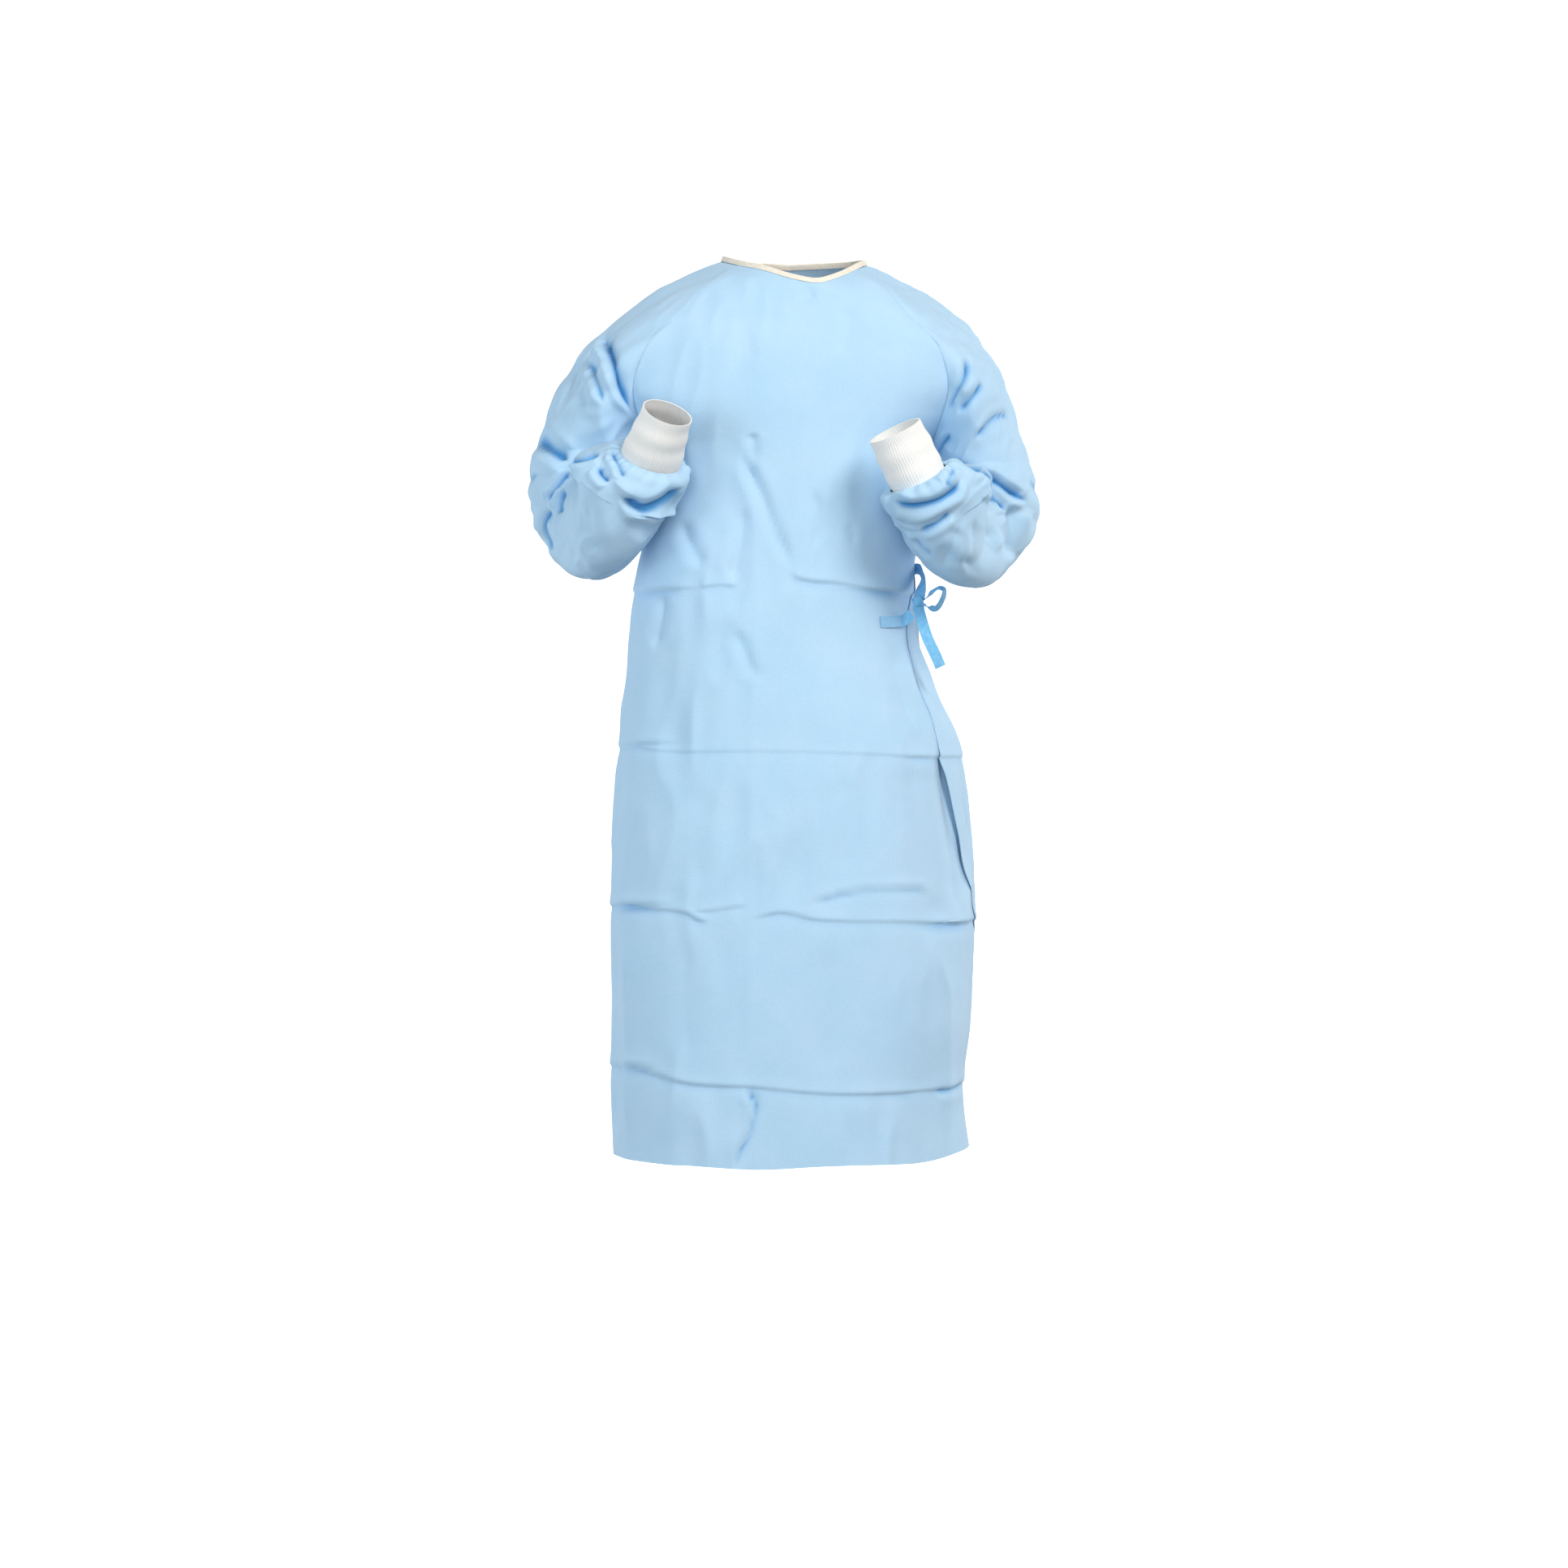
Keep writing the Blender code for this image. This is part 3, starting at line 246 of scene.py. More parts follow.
# Forearm rings run from the elbow's last ring to the cuff seam; the cuff goes on to the wrist.
FOREARM_COLUMNS = ("share", "half_across", "half_through")
LEFT_FOREARM = (
    (0.00, 0.066, 0.066),
    (0.30, 0.062, 0.062),
    (0.60, 0.058, 0.056),
    (0.82, 0.052, 0.048),
    (0.94, 0.044, 0.040),
    (1.00, 0.0375, 0.033),
)
RIGHT_FOREARM = (
    (0.00, 0.070, 0.066),
    (0.30, 0.066, 0.062),
    (0.60, 0.060, 0.056),
    (0.82, 0.053, 0.048),
    (0.94, 0.044, 0.040),
    (1.00, 0.0375, 0.033),
)
LEFT_CUFF = {"seam": (0.157, -0.172, -0.289), "wrist": (0.128, -0.190, -0.233)}
RIGHT_CUFF = {"seam": (-0.168, -0.166, -0.264), "wrist": (-0.147, -0.200, -0.214)}
WRIST_HALF = (0.0320, 0.0265)

# Tapes: centre points of each stretch, and the knot they meet in
KNOT = (0.1610, -0.0780, -0.4335)
FRONT_TIE_START = (0.1130, -0.4600)
FRONT_TIE_LENGTH = 0.031
FRONT_TIE_RISE = 0.004
FRONT_TIE_STAND_OFF = 0.004
FRONT_TIE_POINTS = 5
FRONT_TIE_END = (-0.0090, -0.0060, -0.0150)
BACK_TIE_Z = -0.3850
BACK_TIE_TURNS = (114.0, 106.0, 98.0)
BACK_TIE_FREE_PATH = (
    (0.1670, 0.0000, -0.3890),
    (0.1675, -0.0300, -0.3990),
    (0.1655, -0.0550, -0.4140),
    (0.1622, -0.0704, -0.4305),
)
BOW_LOOP_PATH = (
    (0.1682, -0.0790, -0.4310),
    (0.1765, -0.0820, -0.4225),
    (0.1860, -0.0840, -0.4160),
    (0.1930, -0.0830, -0.4190),
    (0.1910, -0.0800, -0.4310),
    (0.1840, -0.0770, -0.4410),
    (0.1760, -0.0760, -0.4410),
    (0.1688, -0.0765, -0.4372),
)
TAIL_PATH = (
    (0.1618, -0.0800, -0.4433),
    (0.1660, -0.0920, -0.4610),
    (0.1720, -0.0980, -0.4800),
    (0.1820, -0.0970, -0.5010),
    (0.1880, -0.0940, -0.5150),
)

# The patch that closes the back at the neck: shares of the back's height and of its half width
FASTENER_FOOT = 0.80
FASTENER_TOP = 0.88
FASTENER_HALF_WIDTH = 0.10
FASTENER_ROWS = 3
FASTENER_COLUMNS = 5

# Which way each tape's width points, from its first end to its last
FRONT_TIE_WAYS = ((0.0, 0.0, 1.0), (-0.1, 0.2, 1.0))
BACK_TIE_WAYS = (
    (0.0, 0.0, 1.0),
    (0.0, 0.0, 1.0),
    (0.0, 0.0, 1.0),
    (0.1, 0.0, 1.0),
    (0.7, 0.0, 0.7),
    (1.0, 0.0, 0.2),
)
LOOP_ROOT_WAY = (0.2, 1.0, 0.2)
TAIL_WAYS = ((1.0, 0.1, 0.2), (1.0, 0.2, 0.7))

# Creases: the kind, half width, depth and line, all in millimetres. A line of the front or the back is
# given as x and z, and one of the sides as y and z.
MILLIMETRES = 1000
FRONT_CREASES = (
    ("soft", 6, -7.9, ((-62, -248), (-37, -299), (-12, -362), (5, -399))),
    ("step", 3, -1.8, ((0, -396), (13, -408), (59, -413), (113, -419), (139, -417))),
    ("soft", 5.6, -4.4, ((-46, -227), (-42, -265))),
    ("soft", 6.8, -5.3, ((-54, -316), (-63, -375), (-71, -416))),
    ("step", 3, -1.3, ((-109, -419), (-88, -416), (-64, -417))),
    ("soft", 5.6, -3.9, ((72, -341), (83, -362))),
    ("soft", 6.8, -5.3, ((-156, -421), (-160, -455), (-168, -495))),
    ("soft", 6.8, -5.6, ((-67, -469), (-48, -514), (-36, -536))),
    ("ridge", 5.6, 1.6, ((-34, -297), (-39, -456), (-44, -595), (-48, -813), (-49, -1016))),
    ("step", 2.5, -0.7, ((-212, -607), (-157, -619), (-33, -620), (87, -623), (188, -628))),
    ("step", 3, -1.8, ((-213, -805), (-170, -812), (-126, -817), (-111, -825), (-96, -829))),
    ("step", 2.5, -1.2, ((-114, -816), (-85, -813), (-54, -807))),
    ("step", 3, -1.5, ((-49, -826), (-9, -816), (33, -825), (163, -829), (229, -833))),
    ("step", 2.6, -2.2, ((27, -804), (61, -793), (97, -788), (149, -787), (181, -791))),
    ("step", 3, -1.7, ((-209, -1002), (-174, -1012), (-120, -1025), (-47, -1028), (42, -1036),
        (133, -1037), (175, -1035))),
    ("pinch", 5, -3.1, ((176, -1038), (207, -1036), (222, -1034))),
    ("pinch", 4, -4.5, ((-47, -1019), (-47, -1037), (-41, -1050), (-47, -1082), (-60, -1107),
        (-64, -1127))),
    ("ridge", 7, 3.8, ((-198, -821), (-197, -943), (-198, -1116))),
    ("ridge", 10, 4.8, ((162, -833), (181, -882), (194, -925), (195, -1011), (194, -1102))),
    ("soft", 6.8, -2.6, ((36, -48), (18, -60), (-6, -75))),
    ("soft", 8.5, -2.1, ((70, -67), (74, -99), (62, -135))),
    ("soft", 9.3, -1.9, ((-67, -67), (-50, -105), (-42, -147))),
    ("soft", 16, -2.1, ((-103, -654), (-113, -733), (-105, -796))),
    ("soft", 18, -1.9, ((57, -644), (73, -703), (67, -777))),
    ("soft", 15, -2.1, ((37, -851), (49, -920), (39, -1019))),
    ("soft", 14, -1.8, ((-120, -841), (-128, -920), (-118, -1009))),
    ("soft", 7.6, -4.2, ((125, -486), (137, -535), (155, -595))),
    ("soft", 7.6, -4.9, ((-134, -335), (-120, -367), (-104, -395))),
    ("soft", 5.6, -3.9, ((28, -296), (38, -336), (31, -372))),
)
RIGHT_SLEEVE_CREASES = (
    ("pinch", 5, -11, ((-238, -89), (-226, -118), (-212, -159), (-194, -202))),
    ("ridge", 9, 4, ((-242, -107), (-230, -143), (-218, -178))),
    ("pinch", 5, -6, ((-254, -126), (-241, -155), (-229, -192))),
    ("soft", 9, -4, ((-277, -115), (-270, -156), (-252, -198))),
    ("pinch", 7.5, -10, ((-321, -222), (-297, -243), (-273, -258))),
    ("ridge", 8, 5, ((-307, -200), (-285, -225), (-262, -246))),
    ("pinch", 4.5, -9, ((-273, -268), (-252, -265), (-229, -258))),
    ("ridge", 5, 5, ((-266, -276), (-282, -294), (-302, -318))),
    ("pinch", 4, -7, ((-271, -269), (-287, -288), (-304, -308))),
    ("pinch", 4, -7, ((-276, -293), (-283, -308), (-286, -326))),
    ("pinch", 4.5, -7, ((-295, -311), (-305, -335), (-301, -357), (-291, -371))),
    ("pinch", 4.5, -8, ((-232, -275), (-227, -287), (-217, -296))),
    ("pinch", 5.5, -12, ((-205, -311), (-194, -319), (-177, -327), (-159, -322), (-141, -311),
        (-128, -297))),
    ("ridge", 7, 6, ((-215, -290), (-200, -303), (-179, -313), (-159, -308), (-137, -290))),
    ("pinch", 4, -6, ((-217, -254), (-207, -273), (-198, -293))),
    ("ridge", 6, 4, ((-199, -329), (-171, -335), (-146, -329), (-130, -312))),
    ("soft", 6, -5, ((-201, -339), (-169, -347), (-144, -339))),
    ("ridge", 8, 3.5, ((-265, -297), (-261, -337), (-248, -386))),
    ("soft", 8, -4, ((-248, -312), (-242, -347), (-228, -386))),
    ("pinch", 4, -4, ((-170, -357), (-185, -387), (-205, -403))),
)
LEFT_SLEEVE_CREASES = (
    ("ridge", 7, 4, ((228, -126), (225, -155), (211, -185))),
    ("pinch", 4.5, -7, ((221, -129), (218, -155), (203, -183), (194, -201))),
    ("pinch", 4.5, -7, ((243, -158), (231, -177), (216, -192), (208, -202))),
    ("pinch", 4.5, -7, ((180, -159), (188, -190), (183, -230))),
    ("pinch", 4.5, -6, ((201, -221), (189, -239), (179, -257))),
    ("soft", 7, -5, ((252, -338), (241, -374), (215, -408))),
    ("soft", 7, -4, ((206, -348), (196, -377), (186, -397))),
    ("ridge", 8, 4, ((239, -112), (254, -151), (261, -193))),
    ("pinch", 4, -6, ((285, -197), (264, -200), (245, -222), (231, -236))),
    ("pinch", 5.5, -11, ((195, -255), (209, -265), (224, -273), (239, -272))),
    ("pinch", 4.5, -7, ((228, -276), (244, -296), (250, -320))),
    ("pinch", 5, -10, ((210, -271), (228, -281), (251, -282), (278, -298), (302, -309))),
    ("ridge", 6, 5, ((228, -270), (252, -270), (278, -285), (301, -297))),
    ("pinch", 5, -9, ((236, -284), (254, -305), (271, -322))),
    ("ridge", 5, 4, ((246, -300), (260, -317), (266, -342), (254, -378))),
    ("soft", 9, -10, ((274, -311), (278, -346), (269, -382))),
    ("ridge", 8, 4, ((295, -313), (297, -341), (285, -375))),
    ("ridge", 7, 6, ((123, -308), (147, -316), (172, -313), (194, -296), (203, -282))),
    ("pinch", 5, -11, ((123, -316), (149, -326), (176, -321), (199, -306), (207, -290))),
    ("pinch", 4, -5, ((199, -281), (187, -305))),
    ("pinch", 4, -7, ((157, -354), (179, -345), (197, -331))),
    ("soft", 6, -4, ((225, -338), (223, -373), (215, -401))),
    ("soft", 7, -4, ((176, -369), (198, -387), (225, -394))),
    ("pinch", 4, -4, ((150, -360), (164, -374), (177, -382))),
)
# Creases of the sides that the photograph doesn't show, like those that it does
BACK_CREASES = (
    ("step", 3.5, -1.8, ((-170, -412), (-60, -418), (60, -421), (165, -417))),
    ("step", 3, -1.5, ((-205, -618), (-70, -622), (80, -626), (200, -622))),
    ("step", 3.5, -2, ((-222, -822), (-80, -826), (70, -829), (222, -826))),
    ("step", 3.5, -1.8, ((-215, -1028), (-60, -1032), (80, -1036), (215, -1030))),
    ("ridge", 5, 1.6, ((20, -60), (22, -420), (18, -820), (16, -1110))),
    ("soft", 10, -7.2, ((160, -405), (110, -370), (40, -345), (-30, -335))),
    ("soft", 10, -6.4, ((162, -440), (115, -480), (60, -545), (30, -620))),
    ("soft", 11, -8, ((150, -470), (120, -560), (105, -680), (100, -780))),
    ("soft", 9, -5.6, ((-150, -400), (-105, -372), (-50, -362))),
    ("soft", 12, -6.4, ((-140, -450), (-128, -580), (-135, -730))),
    ("soft", 14, -6.1, ((-50, -500), (-60, -660), (-52, -800))),
    ("soft", 9, -6.4, ((-105, -120), (-85, -190), (-70, -270))),
    ("soft", 9, -5.6, ((105, -115), (90, -180), (78, -250))),
    ("soft", 9, -4.8, ((-145, -190), (-110, -250), (-50, -300))),
    ("soft", 10, -4.8, ((130, -230), (100, -285), (50, -320))),
    ("step", 2.6, -2, ((30, -806), (110, -790), (180, -794))),
    ("soft", 7, -3.6, ((-76, -1034), (-86, -1080), (-68, -1134))),
)
LEFT_SIDE_CREASES = (
    ("step", 3.5, -1.8, ((-130, -419), (0, -421), (110, -417))),
    ("step", 3, -1.5, ((-140, -627), (10, -625), (130, -622))),
    ("step", 3.5, -2, ((-150, -832), (0, -830), (150, -826))),
    ("step", 3.5, -1.8, ((-150, -1036), (0, -1034), (150, -1030))),
    ("soft", 10, -5, ((-40, -440), (0, -500), (30, -590))),
    ("soft", 12, -5.6, ((-50, -470), (-45, -600), (-30, -760))),
    ("soft", 9, -3.9, ((0, -360), (30, -330), (70, -300))),
    ("soft", 11, -3.9, ((60, -860), (65, -960), (60, -1080))),
)
RIGHT_SIDE_CREASES = (
    ("step", 3.5, -1.8, ((-130, -419), (0, -416), (110, -413))),
    ("step", 3, -1.5, ((-140, -608), (0, -613), (130, -618))),
    ("step", 3.5, -2, ((-150, -806), (0, -814), (150, -822))),
    ("step", 3.5, -1.8, ((-150, -1004), (0, -1016), (150, -1028))),
    ("soft", 11, -5, ((-10, -430), (0, -520), (4, -640))),
    ("soft", 10, -3.9, ((60, -350), (40, -420), (30, -480))),
    ("soft", 12, -4.5, ((70, -660), (75, -780), (80, -900))),
    ("soft", 11, -3.9, ((-60, -850), (-65, -950), (-60, -1080))),
)
RIGHT_SLEEVE_BACK_CREASES = (
    ("soft", 9, -8, ((-175, -110), (-215, -165), (-250, -215))),
    ("soft", 8, -7.2, ((-205, -225), (-245, -245), (-290, -250))),
    ("pinch", 7, -9.6, ((-200, -275), (-240, -300), (-290, -305))),
    ("soft", 7, -6.4, ((-205, -310), (-240, -345), (-270, -355))),
    ("soft", 9, -5.6, ((-255, -125), (-275, -180), (-290, -225))),
)
LEFT_SLEEVE_BACK_CREASES = (
    ("soft", 9, -8, ((175, -115), (210, -170), (240, -220))),
    ("soft", 8, -7.2, ((195, -230), (235, -252), (280, -260))),
    ("pinch", 7, -9.6, ((190, -285), (230, -310), (280, -318))),
    ("soft", 7, -6.4, ((200, -325), (235, -355), (265, -365))),
    ("soft", 9, -5.6, ((245, -130), (265, -185), (278, -235))),
)
RIGHT_SLEEVE_SIDE_CREASES = (
    ("soft", 9, -3.2, ((40, -130), (10, -180), (-30, -220))),
    ("pinch", 8, -4.3, ((50, -250), (0, -275), (-60, -270))),
    ("soft", 8, -3.2, ((40, -300), (-20, -320), (-80, -305))),
    ("soft", 8, -2.9, ((10, -350), (-60, -355), (-120, -330))),
    ("soft", 8, -2.5, ((-60, -380), (-110, -360), (-150, -320))),
)
LEFT_SLEEVE_SIDE_CREASES = (
    ("soft", 9, -3.2, ((45, -135), (12, -190), (-30, -235))),
    ("pinch", 8, -4.3, ((50, -262), (0, -288), (-60, -280))),
    ("soft", 8, -3.2, ((40, -312), (-20, -330), (-85, -312))),
    ("soft", 8, -2.9, ((10, -358), (-60, -362), (-120, -338))),
    ("soft", 8, -2.5, ((-60, -385), (-110, -368), (-155, -330))),
)

# The hollow in the front panel under the free edge of the outer back panel
UNDER_FLAP_CREASES = (
    ("soft", 12, -10, ((190, -600), (200, -680), (206, -740), (212, -830))),
)

# Cloth, creases and unevenness
BODY_PIECES = ("front_panel", "back_panel_outer", "back_panel_inner")
PRESSED_LEVELS = (-1.032, -0.822, -0.622, -0.416)
PRESSED_CROWDING = 2.2
PRESSED_BAND = 0.016
# How fast each kind of crease falls off, and the height, place and width of the banks beside it,
# in half widths; a pinch has one bank, a soft fold two and a ridge none
CREASE_FORMS = {
    "pinch": (1.2, 0.60, 2.1, 1.3),
    "soft": (1.5, 0.20, 2.4, 1.1),
    "ridge": (1.4, 0.0, 1.0, 1.0),
}
STEP_SLOPE = 2.2
STEP_REACH = 3.6
CREASE_REACH = 5
CREASE_FACING = 0.02
CREASE_FACING_RANGE = 0.30
CREASE_UNEVEN = 0.15
CREASE_TAPER = 0.22
STEP_TAPER = 0.10
SHARP_ANGLE = 52
SEAM_FADE = 0.012
SEAM_GROOVE = 0.0006
LARGE_WAVE = 0.0010
BODY_CRUMPLE = 0.0028
SLEEVE_WAVE = 0.0010
SLEEVE_CRUMPLE = 0.0026
GATHER_COUNT = 19
GATHER_DEPTH = 0.0009
GATHER_REACH = 0.022
HEM_REACH = 0.030
HEM_UNEVEN = 0.0016
GATHER_ROLL = 0.0030
ROLL_PLACE = 0.012
ROLL_WIDTH = 0.008
GATHER_START = 0.006
FLAP_REST = 0.0017
FLAP_REST_REACH = 24.0
# How deep a sharp crease must be for the painted shade in it to be full
FOLD_FULL = 0.0065

# Uneven fields: the seed, wave length and its spread, and how points are stretched along x, y and z
LARGE_FIELD = (11, 0.16, 0.4)
BODY_FIELD = (23, 0.062, 0.5)
BODY_STRETCH = np.array([1.0, 1.0, 0.7])
SLEEVE_FIELD = (37, 0.070, 0.4)
SLEEVE_STRETCH = np.array([1.0, 1.0, 1.6])
SLEEVE_CRUMPLE_FIELD = (41, 0.046, 0.5)
SLEEVE_CRUMPLE_STRETCH = np.array([1.0, 1.0, 1.4])
HEM_FIELD = (53, 0.16, 0.4)
CREST_WAVES = 8
CREST_HEIGHT = 0.75
CREST_ROUND = 0.01
PATCH_WAVES = 6
PATCH_LENGTH = 3.2
BINDING_FIELD = (71, 0.02, 0.5)

# Cuffs, binding, tapes and stitches
KNIT_THICKNESS = 0.0014
RIB_COUNT = 66
RIB_POINTS = 6
RIB_DEPTH = 0.00020
RIB_RUN_OUT = 12
RIB_AT_WRIST = 0.35
CUFF_TUCK = 0.06
CUFF_CLEAR = 0.0010
CUFF_ROLL = 0.0012
CUFF_RIPPLE = 0.0006
CUFF_LEAN = 0.0016
BINDING_FOLD = 0.0011
BINDING_COLUMNS = 360
BINDING_TURNS = 7
BINDING_THICKNESS = 0.0007
TAPE_THICKNESS = 0.0006
TAPE_CUP = 0.0005
TAPE_COLUMNS = 9
TAPE_RIPPLE = 0.35
RIPPLES_A_METRE = 260
RIBBON_STEPS = 120
LOOP_OPENING = 0.55
SEWN_END = 0.70
SEWN_BLEND = 0.06
STITCH_PITCH = 0.0032
STITCH_LENGTH = 0.0024
STITCH_STAND = 0.0001
SQUARE_MARGIN = 0.0020
SQUARE_LENGTH = 0.0110
SQUARE_POINTS = 121
SQUARE_PITCH = 0.0016
SQUARE_STITCH = 0.0013
THREAD_RADIUS = 0.00022
THREAD_SIDES = 6
THREAD_RINGS = 5

# Colours, as light reflected in red, green and blue
CLOTH_SHADE = (0.425, 0.650, 0.850)
CLOTH_LIGHT = (0.485, 0.690, 0.875)
# Painted shade: a darker, deeper blue multiplied into the cloth's colour along its sharp creases
PAINTED_FOLD_SHADE = (0.17, 0.47, 0.74)
KNIT_SHADE = (0.83, 0.83, 0.82)
KNIT_LIGHT = (0.88, 0.88, 0.87)
BINDING_SHADE = (0.80, 0.73, 0.62)
BINDING_LIGHT = (0.90, 0.84, 0.74)
TAPE_SHADE = (0.16, 0.48, 0.80)
TAPE_LIGHT = (0.26, 0.60, 0.90)
SEWN_TAPE = (0.28, 0.56, 0.84)
PATCH_SHADE = (0.55, 0.62, 0.68)
PATCH_LIGHT = (0.72, 0.78, 0.84)
SPECK_SHADE = (0.93, 0.95, 0.97)
SPECK_LIGHT = (1.0, 1.0, 1.0)
THREAD_SHADE = (0.42, 0.62, 0.80)
THREAD_LIGHT = (0.58, 0.76, 0.90)
PAPER_SHADE = (0.93, 0.93, 0.93)
PAPER_LIGHT = (0.97, 0.97, 0.97)

# Studio: where the camera stands, the white surround, and the lights with their power in watts
CAMERA_PLACE = (-0.006, -4.0, -0.660)
CAMERA_LENS = 72.36
CAMERA_SENSOR = 36.0
FLOOR_Z = -1.54
SURROUND_REACH = 8.0
SURROUND_HEIGHT = 7.0
SURROUND_BEND = 1.5
SURROUND_SIDES = 96
ROOM_LIGHT = 0.31
PAPER_GLOW = 1.0
LIGHTS = (
    ("key_softbox", (2.0, -2.7, 2.1), 1.7, 116.0, (1.0, 0.96, 0.91)),
    ("fill_softbox", (-0.6, -4.6, -0.2), 2.0, 64.0, (1.0, 0.99, 0.97)),
    ("cool_softbox", (-2.7, -2.6, -0.3), 1.6, 30.0, (0.72, 0.90, 1.0)),
    ("left_softbox", (-3.0, 1.9, -0.8), 1.6, 52.0, (0.90, 0.96, 1.0)),
    ("right_softbox", (3.0, 1.9, -0.8), 1.6, 54.0, (1.0, 1.0, 1.0)),
    ("back_softbox", (0.4, 3.4, 1.4), 2.0, 60.0, (1.0, 1.0, 1.0)),
)
LIGHT_AIM = (0.0, 0.0, -0.36)

# How each cloth piece is named here
CLOTH_NAMES = {
    "front_panel": "front_cloth",
    "back_panel_outer": "outer_back_cloth",
    "back_panel_inner": "inner_back_cloth",
    "sleeve_left": "left_sleeve_cloth",
    "sleeve_right": "right_sleeve_cloth",
}

KNOT_POINTS = 61
KNOT_STEPS = 90
KNOT_DEPTH = 1.05
KNOT_SPREAD = 0.0030
KNOT_SWAY = 0.0007
KNOT_CUP = 0.0009

# The knot's wraps: name, tilt in degrees, size, width and how often it goes round
KNOT_WRAPS = (
    ("knot_upright_wrap", 12.0, 0.0052, 0.0105, 1.15),
    ("knot_slanting_wrap", -58.0, 0.0064, 0.0085, 0.80),
)


def cubic_weights(t):
    """Weights of a cubic curve's start and end, and of its direction at each."""
    return 2 * t**3 - 3 * t**2 + 1, 3 * t**2 - 2 * t**3, t**3 - 2 * t**2 + t, t**3 - t**2


def cubic(t, start, end, start_way, end_way):
    return sum(w * v for w, v in zip(cubic_weights(t), (start, end, start_way, end_way)))


def eased(knots, values, at):
    """Values between the knots, smooth and with no overshoot."""
    knots = np.asarray(knots, float)
    values = np.asarray(values, float)
    at = np.clip(np.asarray(at, float), knots[0], knots[-1])
    step = np.diff(knots)
    slope = np.diff(values) / step
    tangent = np.zeros(len(knots))
    tangent[0] = slope[0]
    tangent[-1] = slope[-1]
    for i in range(1, len(knots) - 1):
        if slope[i - 1] * slope[i] > 0:
            before = 2 * step[i] + step[i - 1]
            after = step[i] + 2 * step[i - 1]
            tangent[i] = (before + after) / (before / slope[i - 1] + after / slope[i])
    i = np.clip(np.searchsorted(knots, at, side="right") - 1, 0, len(step) - 1)
    t = (at - knots[i]) / step[i]
    return cubic(t, values[i], values[i + 1], tangent[i] * step[i], tangent[i + 1] * step[i])


def column(table, names, name):
    return [row[names.index(name)] for row in table]


def from_table(table, names, key, wanted, at):
    """Points whose coordinates come from the wanted columns."""
    knots = column(table, names, key)
    return np.stack([eased(knots, column(table, names, w), at) for w in wanted], axis=-1)


def pair_table(table, at):
    return eased([row[0] for row in table], [row[1] for row in table], at)


def smooth_path(points, at):
    """A rounded line through the points; at runs from 0 to 1 along its length."""
    points = np.asarray(points, float)
    length = np.concatenate([[0], np.cumsum(np.linalg.norm(np.diff(points, axis=0), axis=1))])
    length /= length[-1]
    padded = np.vstack([2 * points[0] - points[1], points, 2 * points[-1] - points[-2]])
    knots = np.concatenate([[length[0] - length[1]], length, [2 - length[-2]]])
    at = np.clip(np.asarray(at, float), 0, 1)
    i = np.clip(np.searchsorted(length, at, side="right") - 1, 0, len(points) - 2)
    span = (length[i + 1] - length[i])[..., None]
    t = (at[..., None] - length[i][..., None]) / span
    start = (padded[i + 2] - padded[i]) / (knots[i + 2] - knots[i])[..., None] * span
    end = (padded[i + 3] - padded[i + 1]) / (knots[i + 3] - knots[i + 1])[..., None] * span
    return cubic(t, points[i], points[i + 1], start, end)


def unit(vectors):
    vectors = np.asarray(vectors, float)
    size = np.linalg.norm(vectors, axis=-1, keepdims=True)
    return vectors / np.maximum(size, 1e-12)


def powered(value, power):
    return np.sign(value) * np.abs(value) ** power


def even(start, end, count):
    return np.linspace(start, end, count)


def within_turn(angles):
    """The same angles brought between -180 and 180 degrees."""
    return np.where(angles < -180, angles + 360, np.where(angles > 180, angles - 360, angles))


def softened(share):
    share = np.clip(share, 0, 1)
    return share * share * (3 - 2 * share)


def body_row(z, angles):
    """Points of one horizontal section below the underarm."""
    centre, half, front, side, back = from_table(
        BODY_SECTIONS, BODY_COLUMNS, "z", BODY_COLUMNS[1:], z
    )
    turn = np.radians(angles)
    reach = np.abs(np.cos(turn)) ** SIDE_POWER
    depth = np.where(np.cos(turn) > 0, front - side, back - side)
    x = centre + half * powered(np.sin(turn), SIDE_POWER)
    y = side + depth * reach
    level = (UNDERARM_Z - z) / (UNDERARM_Z - HEM_Z)
    rise = pair_table(HEM_RISE, within_turn(angles))
    return np.stack([x, y, z + rise * level**HEM_RISE_POWER], axis=-1)


def neck_point(angles):
    return from_table(NECKLINE, NECK_COLUMNS, "angle", ("x", "y", "z"), angles)


def underarm_point(side):
    return body_row(UNDERARM_Z, np.array([90.0 * side]))[0]


def raglan(face, side, share):
    """A raglan seam. face is front or back; side is 1 for the wearer's left, -1 for the right."""
    wanted = tuple(f"{face}_{axis}" for axis in "xyz")

    def named(at):
        points = from_table(RAGLAN_SEAMS, RAGLAN_COLUMNS, "share", wanted, at)
        return points * np.array([side, 1.0, 1.0])

    angle = NECK_FRONT if face == "front" else NECK_BACK
    top = neck_point(np.array([side * angle]))[0] - named(1.0)
    foot = underarm_point(side) - named(0.0)
    blend = share[..., None]
    return named(share) + top * blend**2 + foot * (1 - blend) ** 2


